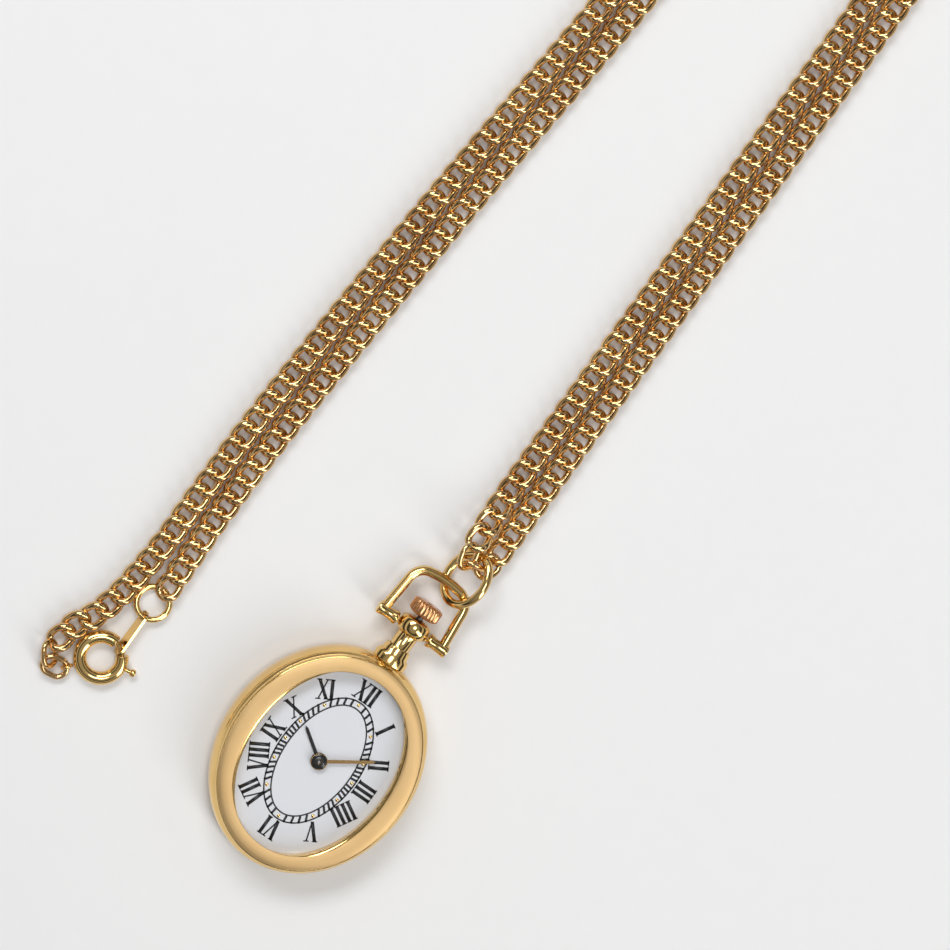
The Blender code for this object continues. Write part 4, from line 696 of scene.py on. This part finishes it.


# %% [markdown]
# The two strands lie side by side, run away from the ring, turn back in one wide bend and return to the clasp.
# Their routes are listed points, which a smooth curve joins.

# %% Both strands
LIE_Z = 1.24
TURN_X, TURN_Y = -11.2, 186.0
INNER_BEND, OUTER_BEND = 11.25, 16.3


def far_bend(radius):
    return [(TURN_X + radius * math.cos(math.radians(15 + 25 * k)),
             TURN_Y + radius * math.sin(math.radians(15 + 25 * k)), LIE_Z) for k in range(7)]


INNER_ROUTE = ([(0.05, 36.6, 3.1), (0.05, 39.5, 1.9), (0.05, 43.5, LIE_Z), (0.05, 48, LIE_Z), (0.05, 60, LIE_Z),
                (0.05, 90, LIE_Z), (0.05, 120, LIE_Z), (0.05, 150, LIE_Z), (0.05, 175, LIE_Z)]
               + far_bend(INNER_BEND)
               + [(-22.45, 175, LIE_Z), (-22.9, 150, LIE_Z), (-23.5, 125, LIE_Z), (-24.25, 103.7, LIE_Z),
                  (-26.95, 70.2, LIE_Z), (-29.05, 36.4, LIE_Z), (-29.5, 19.9, LIE_Z), (-29.4, 13.5, LIE_Z),
                  (-29.3, 8.9, LIE_Z)])
OUTER_ROUTE = ([(3.75, 36.6, 1.3), (3.75, 43.5, LIE_Z), (3.75, 60, LIE_Z), (3.75, 90, LIE_Z),
                (3.75, 120, LIE_Z), (3.75, 150, LIE_Z), (3.75, 175, LIE_Z)]
               + far_bend(OUTER_BEND)
               + [(-26.15, 175, LIE_Z), (-26.6, 150, LIE_Z), (-27.2, 125, LIE_Z), (-27.95, 103.7, LIE_Z),
                  (-30.65, 70.2, LIE_Z), (-32.75, 36.4, LIE_Z), (-33.2, 19.9, LIE_Z), (-33.2, 12.6, LIE_Z),
                  (-33.75, 5.2, LIE_Z), (-34.3, 1.6, LIE_Z), (-35.2, -1.4, LIE_Z), (-36.4, -3.6, LIE_Z),
                  (-36.85, -5.5, LIE_Z)])
inner_strand = strand("inner_strand", INNER_ROUTE, 1.4, 0.3, ["chain_strand_inner"])
outer_strand = strand("outer_strand", OUTER_ROUTE, 0.7, 0.3, ["chain_strand_outer"])


def route_length(route):
    curve = smooth(route, 24)
    return sum((b - a).length for a, b in zip(curve, curve[1:]))


print("strands", round(route_length(INNER_ROUTE)), "and", round(route_length(OUTER_ROUTE)), "mm")

# %% [markdown]
# Three links carry the ring: one over it, one through it and one under it. Two more end the chain at the clasp.
# Their places and turns are those of the model's own links.

# %% Single links
def turned_place(spot, degrees):
    turns = [Matrix.Rotation(math.radians(d), 4, letter) for d, letter in zip(degrees, "XYZ")]
    return Matrix.Translation(spot) @ turns[2] @ turns[1] @ turns[0]


single_links = {
    "chain_link_over_ring": ((0.208, 2.761, 3.833), (34.7, -6.6, 107.1)),
    "chain_link_in_ring": ((1.685, 1.904, 2.384), (68.9, 42.6, -2.5)),
    "chain_link_under_ring": ((3.504, 2.862, 1.608), (-6.5, 18.3, 69.0)),
}
RING_LINK, END_LINK = (4.2, 3.4, 0.4), (4.16, 3.26, 0.38)
end_links = {
    "chain_end_link_first": (47.8, 0.7, 124.4),
    "chain_end_link_last": (5.9, 7.4, 7.0),
}


def single_link(node, spot, degrees, size):
    shape = wire(link_line(*size, 48), size[2], True, 4)
    piece("round_" + node, placed(shape, turned_place(spot, degrees)), "chain", CHAIN_GOLD, [node],
          edge=0)


for node, ((x, from_ring, z), degrees) in single_links.items():
    single_link(node, (x, ring_centre.y + from_ring, z), degrees, RING_LINK)
for node, degrees in end_links.items():
    low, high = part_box(node)
    single_link(node, (low + high) / 2 / MM, degrees, END_LINK)

# %% [markdown]
# ## Spring-ring clasp
# A spring ring is a tube bent into a circle with a gap. A curved tongue closes the gap, and a small knob draws it
# back against a coil spring. The slot that the real knob slides in is left out here.

# %% Clasp
CLASP = Matrix.Translation((-31.1, -5.5, 0.92))
CLASP_R = 2.8
TUBE_R, TONGUE_R, KNOB_ANGLE = 0.9, 0.4, 8
MOUTH_END, TUBE_END, TONGUE_START, TONGUE_END = 81, 399, -40, 89
EYELET_SPOKE, EYELET_R, EYELET_WIRE = 230, 0.68, 0.22
JUMP_R, JUMP_WIRE, JUMP_TILT = 2.2, 0.42, -6.5


def arc(radius, start, end, count):
    step = (end - start) / (count - 1)
    angles = [math.radians(start + k * step) for k in range(count)]
    return [Vector((radius * math.cos(a), radius * math.sin(a), 0)) for a in angles]


tube = wire(arc(CLASP_R, MOUTH_END, TUBE_END, 90), TUBE_R, False, 6)
piece("spring_ring_tube", placed(tube, CLASP), "chain", GOLD, ["spring_ring"], edge=0.1, sharp=50)
knob_turn = Matrix.Rotation(math.radians(KNOB_ANGLE), 4, "Z") @ Matrix.Rotation(math.radians(90), 4, "Y")
knob = turned(round_profile([(0.01, CLASP_R), (0.3, CLASP_R), (0.3, 4.35), (0.44, 4.42), (0.53, 4.58), (0.55, 4.75),
                             (0.51, 4.95), (0.36, 5.08), (0.01, 5.15)]), 32)
tongue = wire(arc(CLASP_R, TONGUE_START, TONGUE_END, 60), TONGUE_R, False, 4)
piece("tongue_and_knob", together(placed(tongue, CLASP), placed(knob, CLASP @ knob_turn)), "clasp_tongue", GOLD,
      ["tongue"], edge=0.04)
eyelet_low, eyelet_high = (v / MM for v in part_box("clasp_eyelet"))
stand = (Matrix.Translation((eyelet_low + eyelet_high) / 2) @ Matrix.Rotation(math.radians(EYELET_SPOKE), 4, "Z")
         @ Matrix.Rotation(math.radians(90), 4, "X"))
piece("soldered_eyelet", placed(wire(arc(EYELET_R, 0, 352.5, 48), EYELET_WIRE, True, 4), stand), "chain", GOLD,
      ["clasp_eyelet"], edge=0)
jump_low, jump_high = (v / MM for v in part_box("jump_ring"))
jump = Matrix.Translation((jump_low + jump_high) / 2) @ Matrix.Rotation(math.radians(JUMP_TILT), 4, "X")
piece("round_jump_ring", placed(wire(arc(JUMP_R, 0, 356.25, 96), JUMP_WIRE, True, 4), jump), "chain", GOLD,
      ["jump_ring"], edge=0)

# %% [markdown]
# The strands are the chain's free length. For each one, the line that its links follow and its length are worked out
# here, and nothing more is done with them.

for made, route in ((inner_strand, INNER_ROUTE), (outer_strand, OUTER_ROUTE)):
    path = [tuple(point * MM) for point in smooth(route, 4)]
    route_length(route) * MM

# %% [markdown]
# ## Finishes for the pieces that keep their shape
# The pieces inside the case, and the plain ones outside, already have the right shape, so they only get a finish.

# %% Finishes inside
FINISHES = {
    "gasket": RUBBER, "holder": HOLDER, "plate": BRASS, "bridge_post": BRASS, "sleeve": BRASS, "wheel": BRASS,
    "train_bridge": NICKEL, "battery_clamp": NICKEL, "stator": NICKEL, "coil_core": NICKEL, "circuit_board": BOARD,
    "timing_chip": RESIN, "rotor": MAGNET, "hour_hand": LACQUER, "minute_hand": BRONZE, "bow_pin": GOLD,
    "chain_tab": GOLD,
}
for name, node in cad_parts.items():
    finish = next((FINISHES[key] for key in FINISHES if key in name), STEEL)
    if name == "coil":
        finish = COPPER
    if name == "stem":
        finish = BLUED_STEEL
    node.data.materials.clear()
    node.data.materials.append(finish)
print("finished", len(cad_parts), "model pieces")

# %% [markdown]
# ## Floor and light
# Polished metal shows what is around it. Three soft lights give the soft shadows, and a sky of bright and dark
# bands gives the lines that make gold look like gold.

# %% Floor
FLOOR_HALF, FLOOR_GAP = 2.0, 0.00005
floor = bmesh.new()
bmesh.ops.create_grid(floor, x_segments=1, y_segments=1, size=FLOOR_HALF)
floor_mesh = bpy.data.meshes.new("floor")
floor.to_mesh(floor_mesh)
floor.free()
floor_mesh.transform(Matrix.Translation((0, 0, -FLOOR_GAP)))
floor_mesh.materials.append(soft_finish("pale floor", (0.93, 0.93, 0.93), (0.90, 0.90, 0.90), 0.7, 0.05, 0.0))
floor_object = bpy.data.objects.new("floor", floor_mesh)
bpy.context.scene.collection.objects.link(floor_object)
floor_object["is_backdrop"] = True


# %% Lights and sky
def soft_light(name, place, aim, width, height, power):
    light = bpy.data.lights.new(name, "AREA")
    light.shape, light.size, light.size_y, light.energy = "RECTANGLE", width, height, power
    holder = bpy.data.objects.new(name, light)
    bpy.context.scene.collection.objects.link(holder)
    toward = (Vector(aim) - Vector(place)).to_track_quat("-Z", "Y").to_matrix().to_4x4()
    holder.matrix_world = Matrix.Translation(place) @ toward


WATCH_MIDDLE = (0, 0.04, 0)
SKY_STRENGTH = 0.62
soft_light("key", (-0.35, 0.35, 0.55), WATCH_MIDDLE, width=0.5, height=0.2, power=2.4)
soft_light("fill", (0.5, -0.1, 0.45), WATCH_MIDDLE, width=0.18, height=0.6, power=1.6)
soft_light("overhead", (0.0, 0.1, 0.9), WATCH_MIDDLE, width=0.22, height=0.22, power=1.2)
world = bpy.data.worlds.new("studio")
bpy.context.scene.world = world
world.use_nodes = True
sky, links = world.node_tree.nodes, world.node_tree.links
spot, split, ramp = sky.new("ShaderNodeTexCoord"), sky.new("ShaderNodeSeparateXYZ"), sky.new("ShaderNodeValToRGB")
links.new(spot.outputs["Generated"], split.inputs[0])
links.new(split.outputs["Z"], ramp.inputs[0])
SKY_BANDS = [(0.0, 0.55), (0.16, 0.05), (0.34, 0.03), (0.40, 1.0), (0.56, 1.0), (0.62, 0.06), (0.78, 0.10),
             (0.88, 0.5), (1.0, 0.6)]
stops = ramp.color_ramp.elements
stops.remove(stops[1])
for number, (height, bright) in enumerate(SKY_BANDS):
    stop = stops.new(height) if number else stops[0]
    stop.position, stop.color = height, (bright, bright, bright, 1)
links.new(ramp.outputs[0], sky["Background"].inputs[0])
sky["Background"].inputs[1].default_value = SKY_STRENGTH
bpy.context.scene.view_settings.view_transform = "Standard"

# %% [markdown]
# ## Sizes of the model and of what was added
# What was added must not stand outside the model. Both boxes are printed.

# %% Sizes and finish
looks_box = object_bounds()
for name, box in (("model", cad_box), ("looks", looks_box)):
    print(name, [round(v / MM, 2) for corner in box for v in corner], "mm")
